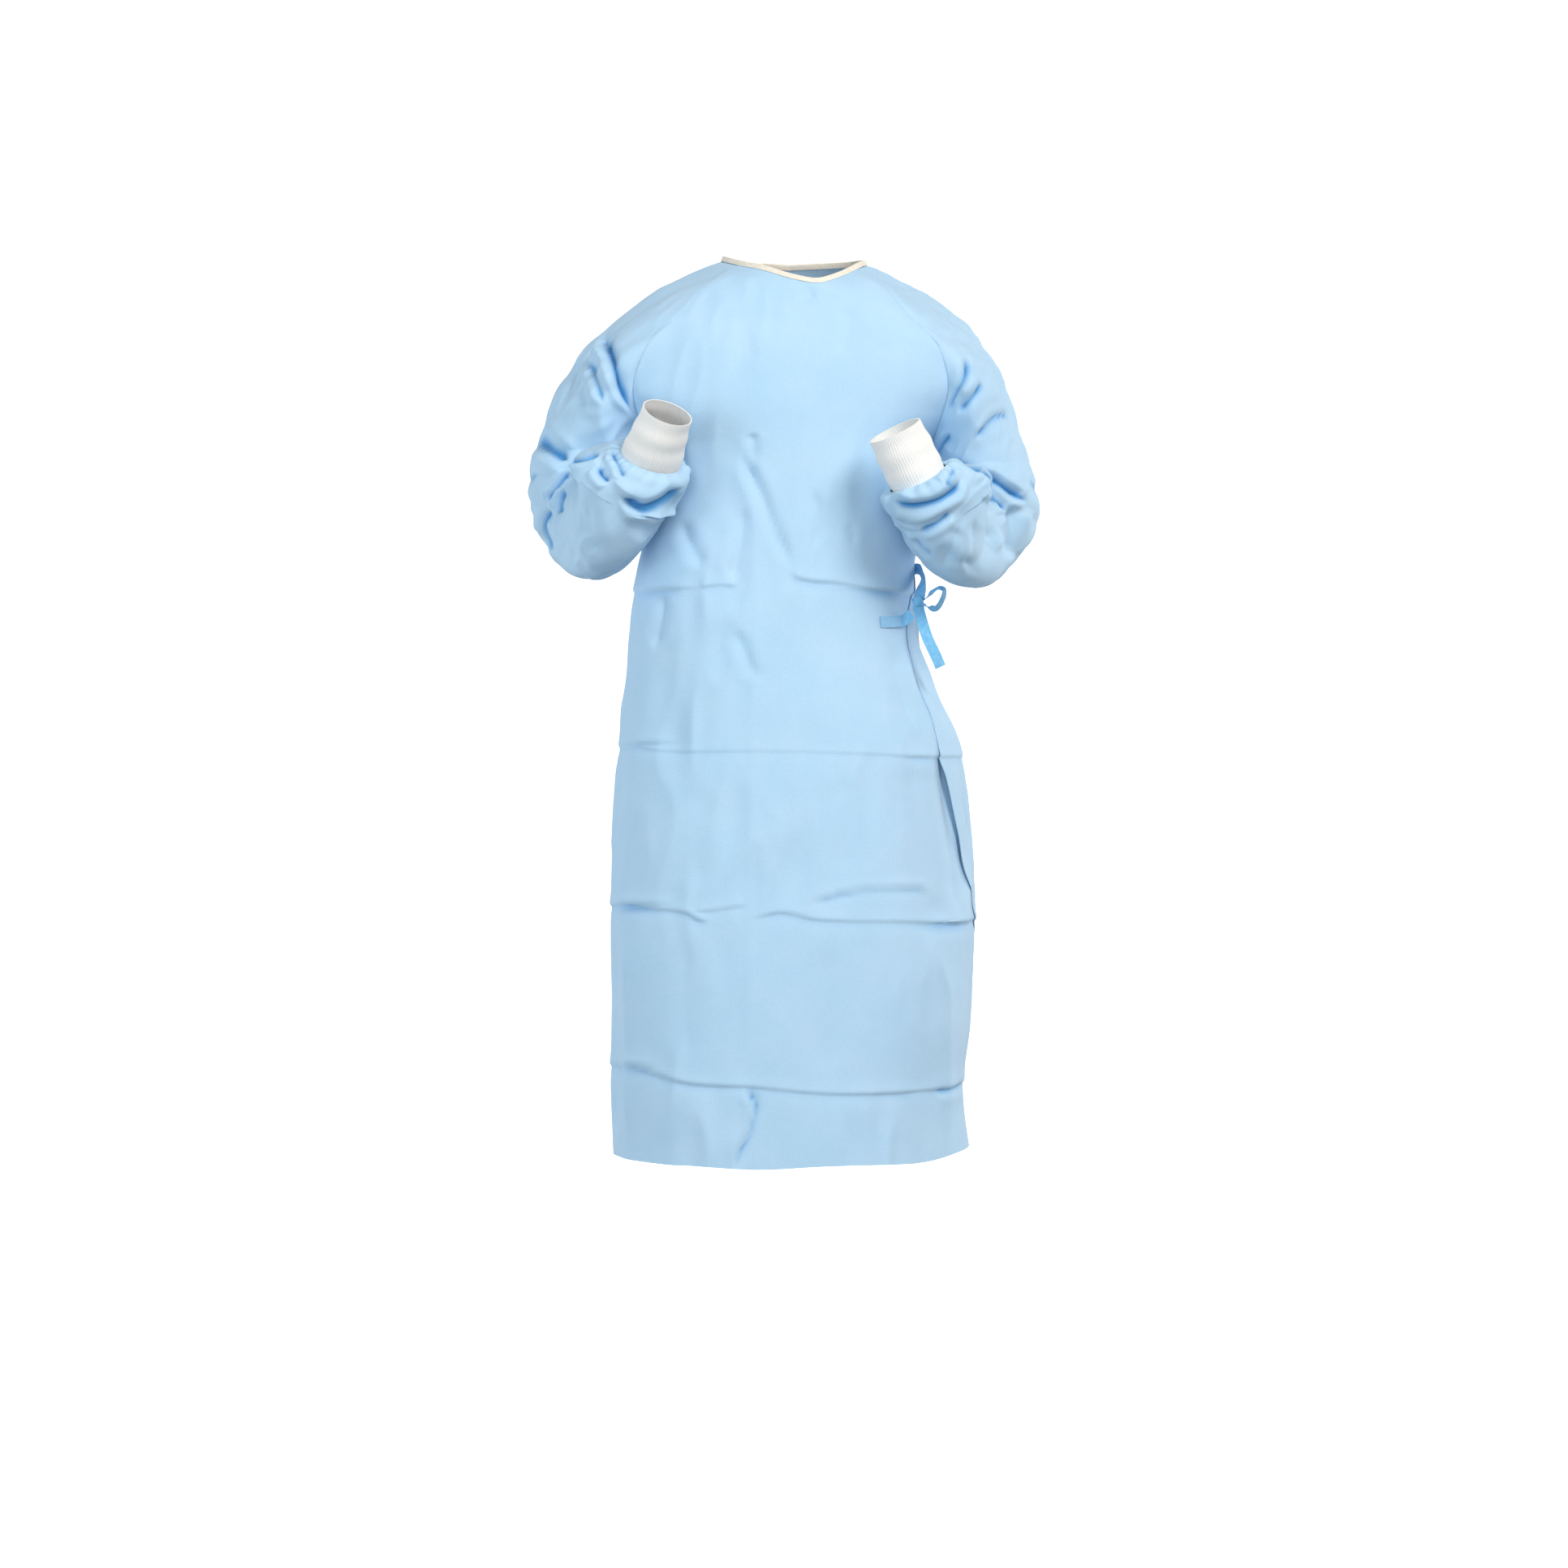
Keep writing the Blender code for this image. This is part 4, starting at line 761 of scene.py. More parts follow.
def torso_shape(face, share, across, power):
    """The plain shape of a row above the underarm, before it is drawn to the neckline."""
    left = raglan(face, 1, np.array([share]))[0]
    right = raglan(face, -1, np.array([share]))[0]
    wanted = tuple(f"{face}_{axis}" for axis in "xyz")
    middle = from_table(CENTRE_LINES, CENTRE_COLUMNS, "share", wanted, share)
    turn_end = math.radians(float(pair_table(ROW_TURN, share)))
    turn = across * turn_end
    outward = np.abs(np.sin(turn)) ** power / math.sin(turn_end) ** power
    edge_reach = max(math.cos(turn_end), 0.0) ** power
    inward = (np.abs(np.cos(turn)) ** power - edge_reach) / (1 - edge_reach)
    edge = np.where((across > 0)[:, None], left, right)
    x = middle[0] + (edge[:, 0] - middle[0]) * outward
    y = edge[:, 1] + (middle[1] - edge[:, 1]) * inward
    z = edge[:, 2] + (middle[2] - edge[:, 2]) * inward
    return np.stack([x, y, z], axis=-1)


def back_turn(across, reach):
    """Angle from the front centre of a place on the back, whose seam lies at the reach."""
    return np.where(across > 0, 180.0, -180.0) - across * reach


def torso_row(face, share, across):
    """Points of one row above the underarm. across runs from -1 at the right seam to 1 at the left."""
    if share == 0:
        return body_row(UNDERARM_Z, across * 90.0 if face == "front" else back_turn(across, 90.0))
    if face == "front":
        neck = neck_point(across * NECK_FRONT)
    else:
        neck = neck_point(back_turn(across, 180.0 - NECK_BACK))
    if share == 1:
        return neck
    power = SIDE_POWER + (CHEST_POWER - SIDE_POWER) * min(1.0, share / CHEST_POWER_FROM)
    row = torso_shape(face, share, across, power)
    return row + (neck - torso_shape(face, 1.0, across, CHEST_POWER)) * share**NECK_DRAW_POWER


def torso_shares():
    return even(0.0, 1.0, TORSO_ROWS + 1)


def front_grid():
    across = even(-1, 1, FRONT_COLUMNS + 1)
    rows = [body_row(z, across * 90.0) for z in skirt_levels()]
    rows += [torso_row("front", share, across) for share in torso_shares()[1:]]
    return np.array(rows)


def outer_grid():
    rows = []
    for z in skirt_levels():
        edge = float(pair_table(FLAP_EDGE, z))
        angles = even(-90.0, edge - 360.0, OUTER_COLUMNS + 1)
        row = body_row(z, angles)
        rows.append(row + lift(row, angles))
    for share in torso_shares()[1:]:
        edge = float(pair_table(FLAP_TORSO_EDGE, share))
        angles = even(-90.0, edge - 360.0, OUTER_COLUMNS + 1)
        across = (-180 - angles) / 90
        row = torso_row("back", share, across)
        rows.append(row + lift(row, angles))
    return np.array(rows)


def square_to(row):
    """Horizontal directions square to a row of points."""
    way = np.gradient(row, axis=0)
    return unit(np.stack([way[:, 1], -way[:, 0], 0 * way[:, 0]], axis=-1))


def lift(row, angles):
    """How far the outer back panel stands off the layer under it."""
    share = softened((-90.0 - angles) / FLAP_LIFT_TURN)
    outward = square_to(row)
    centre = row.mean(axis=0)
    if ((row - centre) * outward).sum() < 0:
        outward = -outward
    free_edge = softened((angles - angles[-1]) / FLAP_REST_REACH)
    stand = FLAP_REST + (FLAP_LIFT - FLAP_REST) * free_edge
    return outward * (stand * share)[:, None]


def inner_grid():
    rows = []
    for z in skirt_levels():
        edge = float(pair_table(INNER_EDGE, z))
        angles = even(edge + 360.0, 90.0, INNER_COLUMNS + 1)
        rows.append(body_row(z, angles))
    for share in torso_shares()[1:]:
        edge = float(pair_table(INNER_TORSO_EDGE, share))
        angles = even(edge + 360.0, 90.0, INNER_COLUMNS + 1)
        rows.append(torso_row("back", share, (180 - angles) / 90))
    return np.array(rows)


def seam_loop(side):
    """The sleeve's first ring: up the front raglan seam, along the neck and down the back seam."""
    shares = torso_shares()
    front = raglan("front", side, shares)
    neck = neck_point(side * even(NECK_FRONT, NECK_BACK, NECK_STEPS + 1))
    back = raglan("back", side, shares[::-1])
    return np.vstack([front, neck[1:], back[1:-1]])


def ring_turns():
    """The turn of each sleeve column: under at 270, front at 180, top at 90, back at 0."""
    shares = torso_shares()
    front = pair_table(FRONT_TURNS, shares)
    neck = even(FRONT_TURNS[-1][1], BACK_TURNS[-1][1], NECK_STEPS + 1)
    back = pair_table(BACK_TURNS, shares)[::-1]
    return np.radians(np.concatenate([front, neck[1:], back[1:-1]]))


def shoulder_ring(seam, last, top_line, turns, share):
    """A ring part of the way from the seams to the elbow, drawn up to the top line."""
    ring = seam * (1 - share) + last * share
    over = np.clip(np.cos(turns - math.pi / 2), 0, 1) ** 2
    top_index = int(np.argmin(np.abs(turns - math.pi / 2)))
    tops = [seam[top_index]] + [np.asarray(p, float) for p in top_line] + [last[top_index]]
    top = smooth_path(tops, np.array([share]))[0]
    ring = ring + over[:, None] * (top - ring[top_index])
    side = np.array([math.copysign(1.0, last[top_index][0]), 1.0, 1.0])
    swell = math.sin(math.pi * share)
    at_front = np.clip(-np.cos(turns), 0, 1)[:, None] ** 2 * swell
    at_back = np.clip(np.cos(turns), 0, 1)[:, None] ** 2 * swell
    return ring + side * (FRONT_FULLNESS * at_front + BACK_FULLNESS * at_back)


def elbow_frame(elbow, turn):
    """Direction from the hinge through the ring, after turning about the hinge line."""
    across = unit(elbow["across"])
    start = np.asarray(elbow["start"], float)
    start = unit(start - across * np.dot(start, across))
    down = np.cross(across, start)
    if down[2] > 0:
        down = -down
    return across, start * math.cos(turn) + down * math.sin(turn)


def elbow_ring(elbow, turn, turns):
    reach, outward, inward, through = from_table(
        elbow["rings"], ELBOW_COLUMNS, "turn", ELBOW_COLUMNS[1:], turn
    )
    across, out = elbow_frame(elbow, math.radians(turn))
    centre = np.asarray(elbow["hinge"], float) + out * reach
    cos = np.cos(turns)
    sin = np.sin(turns)
    wide = np.where(sin > 0, outward, inward)
    return centre + out * (through * cos)[:, None] + across * (wide * sin)[:, None]


def elbow_end(elbow):
    last = elbow["rings"][-1]
    across, out = elbow_frame(elbow, math.radians(last[0]))
    shift = (last[2] - last[3]) / 2
    return np.asarray(elbow["hinge"], float) + out * last[1] + across * shift, across, out


def cuff_frame(cuff, elbow):
    """Axis of the cuff, and its across and out directions."""
    axis = unit(np.subtract(cuff["wrist"], cuff["seam"]))
    across, out = elbow_end(elbow)[1:]
    across = unit(across - axis * np.dot(across, axis))
    out_now = np.cross(axis, across)
    if np.dot(out_now, out) < 0:
        out_now = -out_now
    return axis, across, out_now


def forearm_rings(elbow, forearm, cuff, turns, shares):
    centre, across, out = elbow_end(elbow)
    axis, cuff_across, cuff_out = cuff_frame(cuff, elbow)
    start_way = np.cross(across, out)
    if start_way[2] < 0:
        start_way = -start_way
    seam = np.asarray(cuff["seam"], float)
    reach = np.linalg.norm(seam - centre)
    rings = []
    for share in shares:
        middle = cubic(share, centre, seam, start_way * reach, axis * reach)
        wide, deep = from_table(forearm, FOREARM_COLUMNS, "share", FOREARM_COLUMNS[1:], share)
        side_way = unit(across * (1 - share) + cuff_across * share)
        out_way = unit(out * (1 - share) + cuff_out * share)
        cos = np.cos(turns)[:, None]
        sin = np.sin(turns)[:, None]
        rings.append(middle + out_way * deep * cos + side_way * wide * sin)
    return rings


def sleeve_sizes(side):
    """Top line, elbow, forearm and cuff of the sleeve on one side."""
    if side > 0:
        return LEFT_TOP_LINE, LEFT_ELBOW, LEFT_FOREARM, LEFT_CUFF
    return RIGHT_TOP_LINE, RIGHT_ELBOW, RIGHT_FOREARM, RIGHT_CUFF


def sleeve_grid(side):
    top_line, elbow, forearm, cuff = sleeve_sizes(side)
    turns = ring_turns()
    last_turn = elbow["rings"][-1][0]
    elbow_turns = even(ELBOW_START, last_turn, ELBOW_ROWS + 1)
    seam = seam_loop(side)
    last = elbow_ring(elbow, elbow_turns[0], turns)
    guide_shares = even(0, 1, SHOULDER_GUIDES + 1)[:-1]
    guides = [shoulder_ring(seam, last, top_line, turns, share) for share in guide_shares]
    guides.append(last)
    guides.append(elbow_ring(elbow, elbow_turns[1], turns))
    guides = np.array(guides)
    upper = []
    for k in range(len(turns)):
        steps = np.linalg.norm(np.diff(guides[:, k], axis=0), axis=1)
        length = np.concatenate([[0], np.cumsum(steps)])
        stop = length[-2] / length[-1]
        upper.append(smooth_path(guides[:, k], even(0, stop, SHOULDER_ROWS + 1)))
    upper = np.array(upper).transpose(1, 0, 2)
    rings = list(upper[:-1])
    rings += [elbow_ring(elbow, turn, turns) for turn in elbow_turns]
    rings += forearm_rings(elbow, forearm, cuff, turns, even(0, 1, FOREARM_ROWS + 1)[1:])
    return np.array(rings)


def vertex_normals(grid, closed):
    if closed:
        across = np.roll(grid, -1, axis=1) - np.roll(grid, 1, axis=1)
    else:
        across = np.gradient(grid, axis=1)
    along = np.gradient(grid, axis=0)
    return unit(np.cross(across, along))


def seam_key(point):
    return tuple(np.round(np.asarray(point) * 5000).astype(int))


def inward_way(panel, r, c):
    """Unit direction from an edge point of the grid into the piece."""
    grid = panel["grid"]
    rows, columns = grid.shape[:2]
    way = np.zeros(3)
    if r == 0:
        way += unit(grid[1, c] - grid[0, c])
    if r == rows - 1:
        way += unit(grid[rows - 2, c] - grid[rows - 1, c])
    if not panel["closed"]:
        if c == 0:
            way += unit(grid[r, 1] - grid[r, 0])
        if c == columns - 1:
            way += unit(grid[r, columns - 2] - grid[r, columns - 1])
    return unit(way)


def mean_normal(normals):
    """The mean direction of pieces that meet; pieces that face the same way count as one."""
    normals = np.array(normals)
    alike = (normals @ normals.T > ALIKE).sum(axis=1)
    return unit((normals / alike[:, None]).sum(axis=0))


def join_seams(panels):
    """Where pieces share a seam point, they take the mean of their normals and draw apart."""
    found = {}
    for panel in panels:
        for r, c in panel["edge"]:
            key = seam_key(panel["grid"][r, c])
            meeting = (panel["name"], panel["normals"][r, c], inward_way(panel, r, c))
            found.setdefault(key, []).append(meeting)
    for panel in panels:
        shared = panel["normals"].copy()
        moved = panel["grid"].copy()
        for r, c in panel["edge"]:
            meeting = found[seam_key(panel["grid"][r, c])]
            mean = mean_normal([normal for _, normal, _ in meeting])
            own = panel["normals"][r, c]
            inward = inward_way(panel, r, c)
            others = [way for name, _, way in meeting if name != panel["name"]]
            pull = SEAM_PULL
            if others:
                way = unit(np.sum(others, axis=0))
                half_angle = math.acos(np.clip(np.dot(inward, way), -1, 1)) / 2
                pull = SEAM_PULL / max(math.sin(half_angle), SHARPEST_SEAM)
            shared[r, c] = mean / max(np.dot(mean, own), LEAST_MITRE)
            moved[r, c] += inward * pull
        panel["shared"] = shared
        panel["moved"] = moved


def edge_cells(rows, columns, closed):
    cells = [(r, c) for r in (0, rows - 1) for c in range(columns)]
    if not closed:
        cells += [(r, c) for c in (0, columns - 1) for r in range(1, rows - 1)]
    return cells


def fold_shift(points, normals):
    """How far each point moves along its normal for the folds of the front and the back."""
    shift = np.zeros(points.shape[:-1])
    for table, facing in ((FRONT_FOLDS, -1.0), (BACK_FOLDS, 1.0)):
        towards = np.clip((normals[..., 1] * facing - FOLD_FACING) / FOLD_FACING_RANGE, 0, 1)
        for x1, z1, x2, z2, half_width, depth in table:
            line = np.array([x2 - x1, z2 - z1])
            place = np.stack([points[..., 0] - x1, points[..., 2] - z1], axis=-1)
            along = np.clip((place @ line) / (line @ line), 0, 1)
            away = np.linalg.norm(place - along[..., None] * line, axis=-1)
            shift += towards * depth * np.exp(-((away / half_width) ** 2))
    return shift


def make_panel(name, grid, closed, raglan_ends=()):
    rows, columns = grid.shape[:2]
    return {
        "name": name,
        "grid": grid,
        "closed": closed,
        "raglan_ends": raglan_ends,
        "normals": vertex_normals(grid, closed),
        "edge": edge_cells(rows, columns, closed),
    }


def point_over_front(x, z, distance):
    """A point at a distance outside the middle of the front panel, by its place in the front view."""
    row = body_row(z, even(-90.0, 90.0, 361))
    moved = row + square_to(row) * distance
    y = np.interp(x, moved[:, 0], moved[:, 1])
    return np.array([x, y, z])


def front_tie_path():
    x, z = FRONT_TIE_START
    rest = CLOTH_WALL / 2 + REST_GAP + TAPE_WALL / 2
    lying = []
    for share in even(0, 1, FRONT_TIE_POINTS):
        rise = FRONT_TIE_RISE * share**2
        away = rest + FRONT_TIE_STAND_OFF * share**2
        lying.append(point_over_front(x + FRONT_TIE_LENGTH * share, z + rise, away))
    return lying + [np.array(KNOT) + np.array(FRONT_TIE_END)]


def back_tie_path():
    """From where it is sewn on the outer back panel, round the side to the back of the knot."""
    angles = np.array(BACK_TIE_TURNS) - 360.0
    row = body_row(BACK_TIE_Z, angles)
    rest = FLAP_LIFT + CLOTH_WALL / 2 + REST_GAP + TAPE_WALL / 2
    outward = square_to(row)
    outward = outward * np.sign(outward[:, :1])
    return list(row + outward * rest) + [np.array(p) for p in BACK_TIE_FREE_PATH]


def fastener_grid():
    """The patch between the two back panels just below the neck."""
    rows = []
    across = even(-FASTENER_HALF_WIDTH, FASTENER_HALF_WIDTH, FASTENER_COLUMNS)
    for share in even(FASTENER_FOOT, FASTENER_TOP, FASTENER_ROWS):
        row = torso_row("back", share, across)
        rows.append(row + lift(row, np.full(FASTENER_COLUMNS, -180.0)) / 2)
    return np.array(rows)


# Finer grids, creases and cloth
def skirt_levels():
    """Heights of the skirt's rows, closer together where a pressed crease runs across."""
    fine = even(HEM_Z, UNDERARM_Z, 2000)
    weight = np.ones(len(fine))
    for z in PRESSED_LEVELS:
        weight += PRESSED_CROWDING * np.exp(-(((fine - z) / PRESSED_BAND) ** 2))
    total = np.concatenate([[0], np.cumsum((weight[1:] + weight[:-1]) / 2)])
    return np.interp(even(0, total[-1], SKIRT_ROWS + 1), total, fine)


def along_line(line, count=60):
    return smooth_path(np.array([(a, 0.0, b) for a, b in line]), even(0, 1, count))[:, [0, 2]]


def line_place(points, line):
    """Signed distance from a line in the view, and the share of its length, of each point."""
    path = along_line(line)
    best = np.full(len(points), 1e9)
    sign = np.ones(len(points))
    share = np.zeros(len(points))
    for i in range(len(path) - 1):
        step = path[i + 1] - path[i]
        size = max(step @ step, 1e-12)
        place = points - path[i]
        t = np.clip((place @ step) / size, 0, 1)
        away = np.linalg.norm(place - t[:, None] * step, axis=1)
        closer = away < best
        best = np.where(closer, away, best)
        side = place[:, 0] * step[1] - place[:, 1] * step[0]
        sign = np.where(closer, np.sign(side), sign)
        share = np.where(closer, (i + t) / (len(path) - 1), share)
    return best * sign, share


def crease_profile(kind, away, half_width):
    """The form across a crease: a sharp or soft fold, or a ledge where one side stands higher."""
    d = away / half_width
    if kind == "step":
        return np.tanh(STEP_SLOPE * d) * np.exp(-((d / STEP_REACH) ** 2))
    power, bank, place, width = CREASE_FORMS[kind]
    beside = d if kind == "pinch" else np.abs(d)
    return np.exp(-np.abs(d) ** power) - bank * np.exp(-(((beside - place) / width) ** 2))


def crease_shift(flat, facing, table):
    """How far points move for a table of creases, by their place in the view and how they face it."""
    shift = np.zeros(len(flat))
    weight = softened((facing - CREASE_FACING) / CREASE_FACING_RANGE)
    seen = weight > 0
    for kind, half_width, depth, line in table:
        half_width, depth, line = (np.array(size) / MILLIMETRES for size in (half_width, depth, line))
        reach = CREASE_REACH * half_width
        near = seen & (flat > line.min(axis=0) - reach).all(axis=1)
        near &= (flat < line.max(axis=0) + reach).all(axis=1)
        if not near.any():
            continue
        away, share = line_place(flat[near], line)
        run = STEP_TAPER if kind == "step" else CREASE_TAPER
        taper = softened(share / run) * softened((1 - share) / run)
        swell = (1 - CREASE_UNEVEN) + CREASE_UNEVEN * np.sin(9.0 * share + 40.0 * depth)
        narrow = half_width * (0.5 + 0.5 * taper)
        shift[near] += weight[near] * depth * taper * swell * crease_profile(kind, away, narrow)
    return shift


def waves(points, seed, length, spread, count=14):
    """A smooth uneven field between about -1 and 1, the same for the same seed."""
    pick = np.random.default_rng(seed)
    field = np.zeros(len(points))
    for _ in range(count):
        way = pick.normal(size=3)
        way /= np.linalg.norm(way)
        size = length * (1 + spread * pick.uniform(-1, 1))
        field += np.sin(2 * math.pi * (points @ way) / size + pick.uniform(0, 6.28))
    return field / math.sqrt(count)


def crumple(points, seed, length, spread):
    """Sharp crests between flat facets, as in thin stiff cloth, in patches."""
    field = waves(points, seed, length, spread, CREST_WAVES)
    patch = waves(points, seed + 1, PATCH_LENGTH * length, spread, PATCH_WAVES)
    return (CREST_HEIGHT - np.sqrt(field**2 + CREST_ROUND)) * softened(0.5 + 0.6 * patch)


def cloth_shift(name, points, normals):
    """All the folds of one piece, and how deep each place lies in a crease, from 0 to 1, for painted
    shade.
    """
    front, side = points[:, [0, 2]], points[:, [1, 2]]
    out, away = normals[:, 0], normals[:, 1]
    views = {
        "front_panel": ((front, -away, FRONT_CREASES + UNDER_FLAP_CREASES),),
        "back_panel_outer": ((front, -away, FRONT_CREASES),),
        "sleeve_right": (
            (front, -away, RIGHT_SLEEVE_CREASES),
            (front, away, RIGHT_SLEEVE_BACK_CREASES),
            (side, -out, RIGHT_SLEEVE_SIDE_CREASES),
        ),
        "sleeve_left": (
            (front, -away, LEFT_SLEEVE_CREASES),
            (front, away, LEFT_SLEEVE_BACK_CREASES),
            (side, out, LEFT_SLEEVE_SIDE_CREASES),
        ),
    }.get(name, ())
    body = name in BODY_PIECES
    if body:
        views += (
            (front, away, BACK_CREASES),
            (side, out, LEFT_SIDE_CREASES),
            (side, -out, RIGHT_SIDE_CREASES),
        )
    creases = sum(crease_shift(flat, facing, table) for flat, facing, table in views)
    sharp = sum(
        crease_shift(flat, facing, [row for row in table if row[0] in ("pinch", "step")])
        for flat, facing, table in views
    )
    shift = fold_shift(points, normals) + creases + LARGE_WAVE * waves(points, *LARGE_FIELD)
    if body:
        shift = shift + BODY_CRUMPLE * crumple(points * BODY_STRETCH, *BODY_FIELD)
    else:
        shift = shift + SLEEVE_WAVE * waves(points * SLEEVE_STRETCH, *SLEEVE_FIELD)
        crumpled = crumple(points * SLEEVE_CRUMPLE_STRETCH, *SLEEVE_CRUMPLE_FIELD)
        shift = shift + SLEEVE_CRUMPLE * crumpled
    # The second value marks where shade is painted into the cloth along its sharp creases
    return shift, softened(np.clip(-sharp / FOLD_FULL, 0, 1))


def cuff_gathers(panel):
    """Small uneven gathers where the sleeve is drawn in to its cuff."""
    grid = panel["grid"]
    steps = np.linalg.norm(np.diff(grid, axis=0), axis=2).mean(axis=1)
    from_cuff = np.concatenate([np.cumsum(steps[::-1])[::-1], [0.0]])
    turn = 2 * math.pi * np.arange(grid.shape[1]) / grid.shape[1]
    wave = np.sin(GATHER_COUNT * turn + 1.3 * np.sin(3 * turn)) * (0.7 + 0.3 * np.sin(5 * turn + 1.0))
    near = softened(from_cuff / GATHER_START) * np.exp(-((from_cuff / GATHER_REACH) ** 2))
    roll = GATHER_ROLL * np.exp(-(((from_cuff - ROLL_PLACE) / ROLL_WIDTH) ** 2))
    gathers = GATHER_DEPTH * wave[None] * near[:, None]
    return gathers + roll[:, None] * (0.8 + 0.2 * wave[None])


def seam_grooves(panel):
    """A fine valley where this piece is sewn to the next, and along the sleeve's own seam."""
    groove = np.zeros(panel["grid"].shape[:2])
    if "first" in panel["raglan_ends"]:
        groove[:, 0] = SEAM_GROOVE
    if "last" in panel["raglan_ends"]:
        groove[:, -1] = SEAM_GROOVE
    if panel["closed"]:
        groove[0, :] = SEAM_GROOVE
        groove[1:-1, 0] = SEAM_GROOVE
    return groove


def seam_fade(panel):
    """0 at the ends that stay where the next piece is, 1 a little way inside."""
    grid = panel["grid"]
    rows = grid.shape[0]
    steps = np.linalg.norm(np.diff(grid, axis=0), axis=2)
    height = np.vstack([np.zeros(grid.shape[1]), np.cumsum(steps, axis=0)])
    from_top = height[-1] - height
    fade = np.ones(grid.shape[:2])
    if panel["name"] in BODY_PIECES:
        fade *= softened(from_top / SEAM_FADE)
        raglan_rows = np.arange(rows) >= SKIRT_ROWS
        across = np.linalg.norm(np.diff(grid, axis=1), axis=2)
        run = np.hstack([np.zeros((rows, 1)), np.cumsum(across, axis=1)])
        for held, distance in (("first", run), ("last", run[:, -1:] - run)):
            if held in panel["raglan_ends"]:
                fade *= np.where(raglan_rows[:, None], softened(distance / SEAM_FADE), 1.0)
                below = SKIRT_ROWS - np.arange(rows)
                near_foot = np.sqrt(distance**2 + (height[SKIRT_ROWS][None] - height) ** 2)
                fade *= np.where((below > 0)[:, None], softened(near_foot / SEAM_FADE), 1.0)
    else:
        fade *= softened(height / SEAM_FADE) * softened(from_top / (0.5 * SEAM_FADE))
    return fade


def dress_panels(panels):
    """Presses every fold and crease into the pieces; places that two pieces share move alike."""
    for panel in panels:
        normals = unit(panel["shared"])
        shape = normals.shape[:2]
        points = panel["grid"].reshape(-1, 3)
        shift, folded = cloth_shift(panel["name"], points, normals.reshape(-1, 3))
        fade = seam_fade(panel)
        shift = shift.reshape(shape) * fade
        # Where the cloth's finish paints shade into the creases, faded at the seams
        panel["folded"] = folded.reshape(shape) * fade
        if panel["closed"]:
            shift = shift + cuff_gathers(panel)
        shift = shift - seam_grooves(panel)
        grid = panel["grid"] + normals * shift[..., None]
        if panel["name"] in BODY_PIECES:
            near_hem = np.exp(-(((points[:, 2] - HEM_Z) / HEM_REACH) ** 2))
            rise = HEM_UNEVEN * near_hem * waves(points, *HEM_FIELD)
            grid[..., 2] += rise.reshape(shape)
        panel["grid"] = grid
        panel["normals"] = vertex_normals(panel["grid"], panel["closed"])


def surface_lengths(grid):
    """Metres along the cloth, across and up, for its weave."""
    across = np.linalg.norm(np.diff(grid, axis=1), axis=2)
    u = np.hstack([np.zeros((grid.shape[0], 1)), np.cumsum(across, axis=1)])
    u = u - u.mean(axis=1, keepdims=True)
    up = np.linalg.norm(np.diff(grid, axis=0), axis=2)
    v = np.vstack([np.zeros(grid.shape[1]), np.cumsum(up, axis=0)])
    return np.stack([u, v], axis=-1)


def point_values(mesh, name, values):
    layer = mesh.attributes.new(name, "FLOAT", "POINT")
    layer.data.foreach_set("value", values.astype(np.float32))


def shell_object(name, grid, normals, wall, closed, material, lengths=None, folded=None):
    """A thin closed shell on both sides of a grid, with a map in metres."""
    rows, columns = grid.shape[:2]
    lengths = surface_lengths(grid) if lengths is None else lengths
    points = np.vstack([
        (grid + normals * wall / 2).reshape(-1, 3),
        (grid - normals * wall / 2).reshape(-1, 3),
    ])
    under = rows * columns
    spans = columns if closed else columns - 1
    r = np.repeat(np.arange(rows - 1), spans)
    c = np.tile(np.arange(spans), rows - 1)
    n = (c + 1) % columns
    a, b = r * columns + c, r * columns + n
    d, e = b + columns, a + columns
    quads = [np.stack([a, b, d, e], axis=1)]
    quads.append(np.stack([under + a, under + e, under + d, under + b], axis=1))
    c = np.arange(spans)
    n = (c + 1) % columns
    top = (rows - 1) * columns
    quads.append(np.stack([n, c, under + c, under + n], axis=1))
    quads.append(np.stack([top + c, top + n, under + top + n, under + top + c], axis=1))
    if not closed:
        near = np.arange(rows - 1) * columns
        up = near + columns
        quads.append(np.stack([near, up, under + up, under + near], axis=1))
        far, far_up = near + columns - 1, up + columns - 1
        quads.append(np.stack([far_up, far, under + far, under + far_up], axis=1))
    quads = np.vstack(quads)
    mesh = bpy.data.meshes.new(name)
    mesh.from_pydata(points.tolist(), [], quads.tolist())
    mesh.update()
    layer = mesh.uv_layers.new(name="cloth")
    corner = np.empty(len(mesh.loops), np.int32)
    mesh.loops.foreach_get("vertex_index", corner)
    flat = np.vstack([lengths.reshape(-1, 2)] * 2)[corner]
    if closed:
        seam = flat.reshape(-1, 4, 2)
        wide = seam[:, :, 0].max(axis=1) - seam[:, :, 0].min(axis=1) > 0.5 * np.ptp(lengths[..., 0])
        girth = np.ptp(lengths[..., 0]) + np.linalg.norm(grid[0, 0] - grid[0, -1])
        low = seam[wide, :, 0] < 0
        seam[wide, :, 0] = np.where(low, seam[wide, :, 0] + girth, seam[wide, :, 0])
        flat = seam.reshape(-1, 2)
    layer.data.foreach_set("uv", flat.astype(np.float32).reshape(-1))
    corners = points[quads]
    volume = np.einsum("ij,ij->i", corners[:, 0], np.cross(corners[:, 1], corners[:, 2])).sum()
    volume += np.einsum("ij,ij->i", corners[:, 0], np.cross(corners[:, 2], corners[:, 3])).sum()
    if volume < 0:
        mesh.flip_normals()
    # On the cloth this holds where shade is painted into the creases; on a tape, its sewn end
    if folded is not None:
        point_values(mesh, "folded", np.tile(folded.reshape(-1), 2))
    mesh.shade_smooth()
    mesh.set_sharp_from_angle(angle=math.radians(SHARP_ANGLE))
    mesh.materials.append(finishes[material])
    return placed(name, mesh)


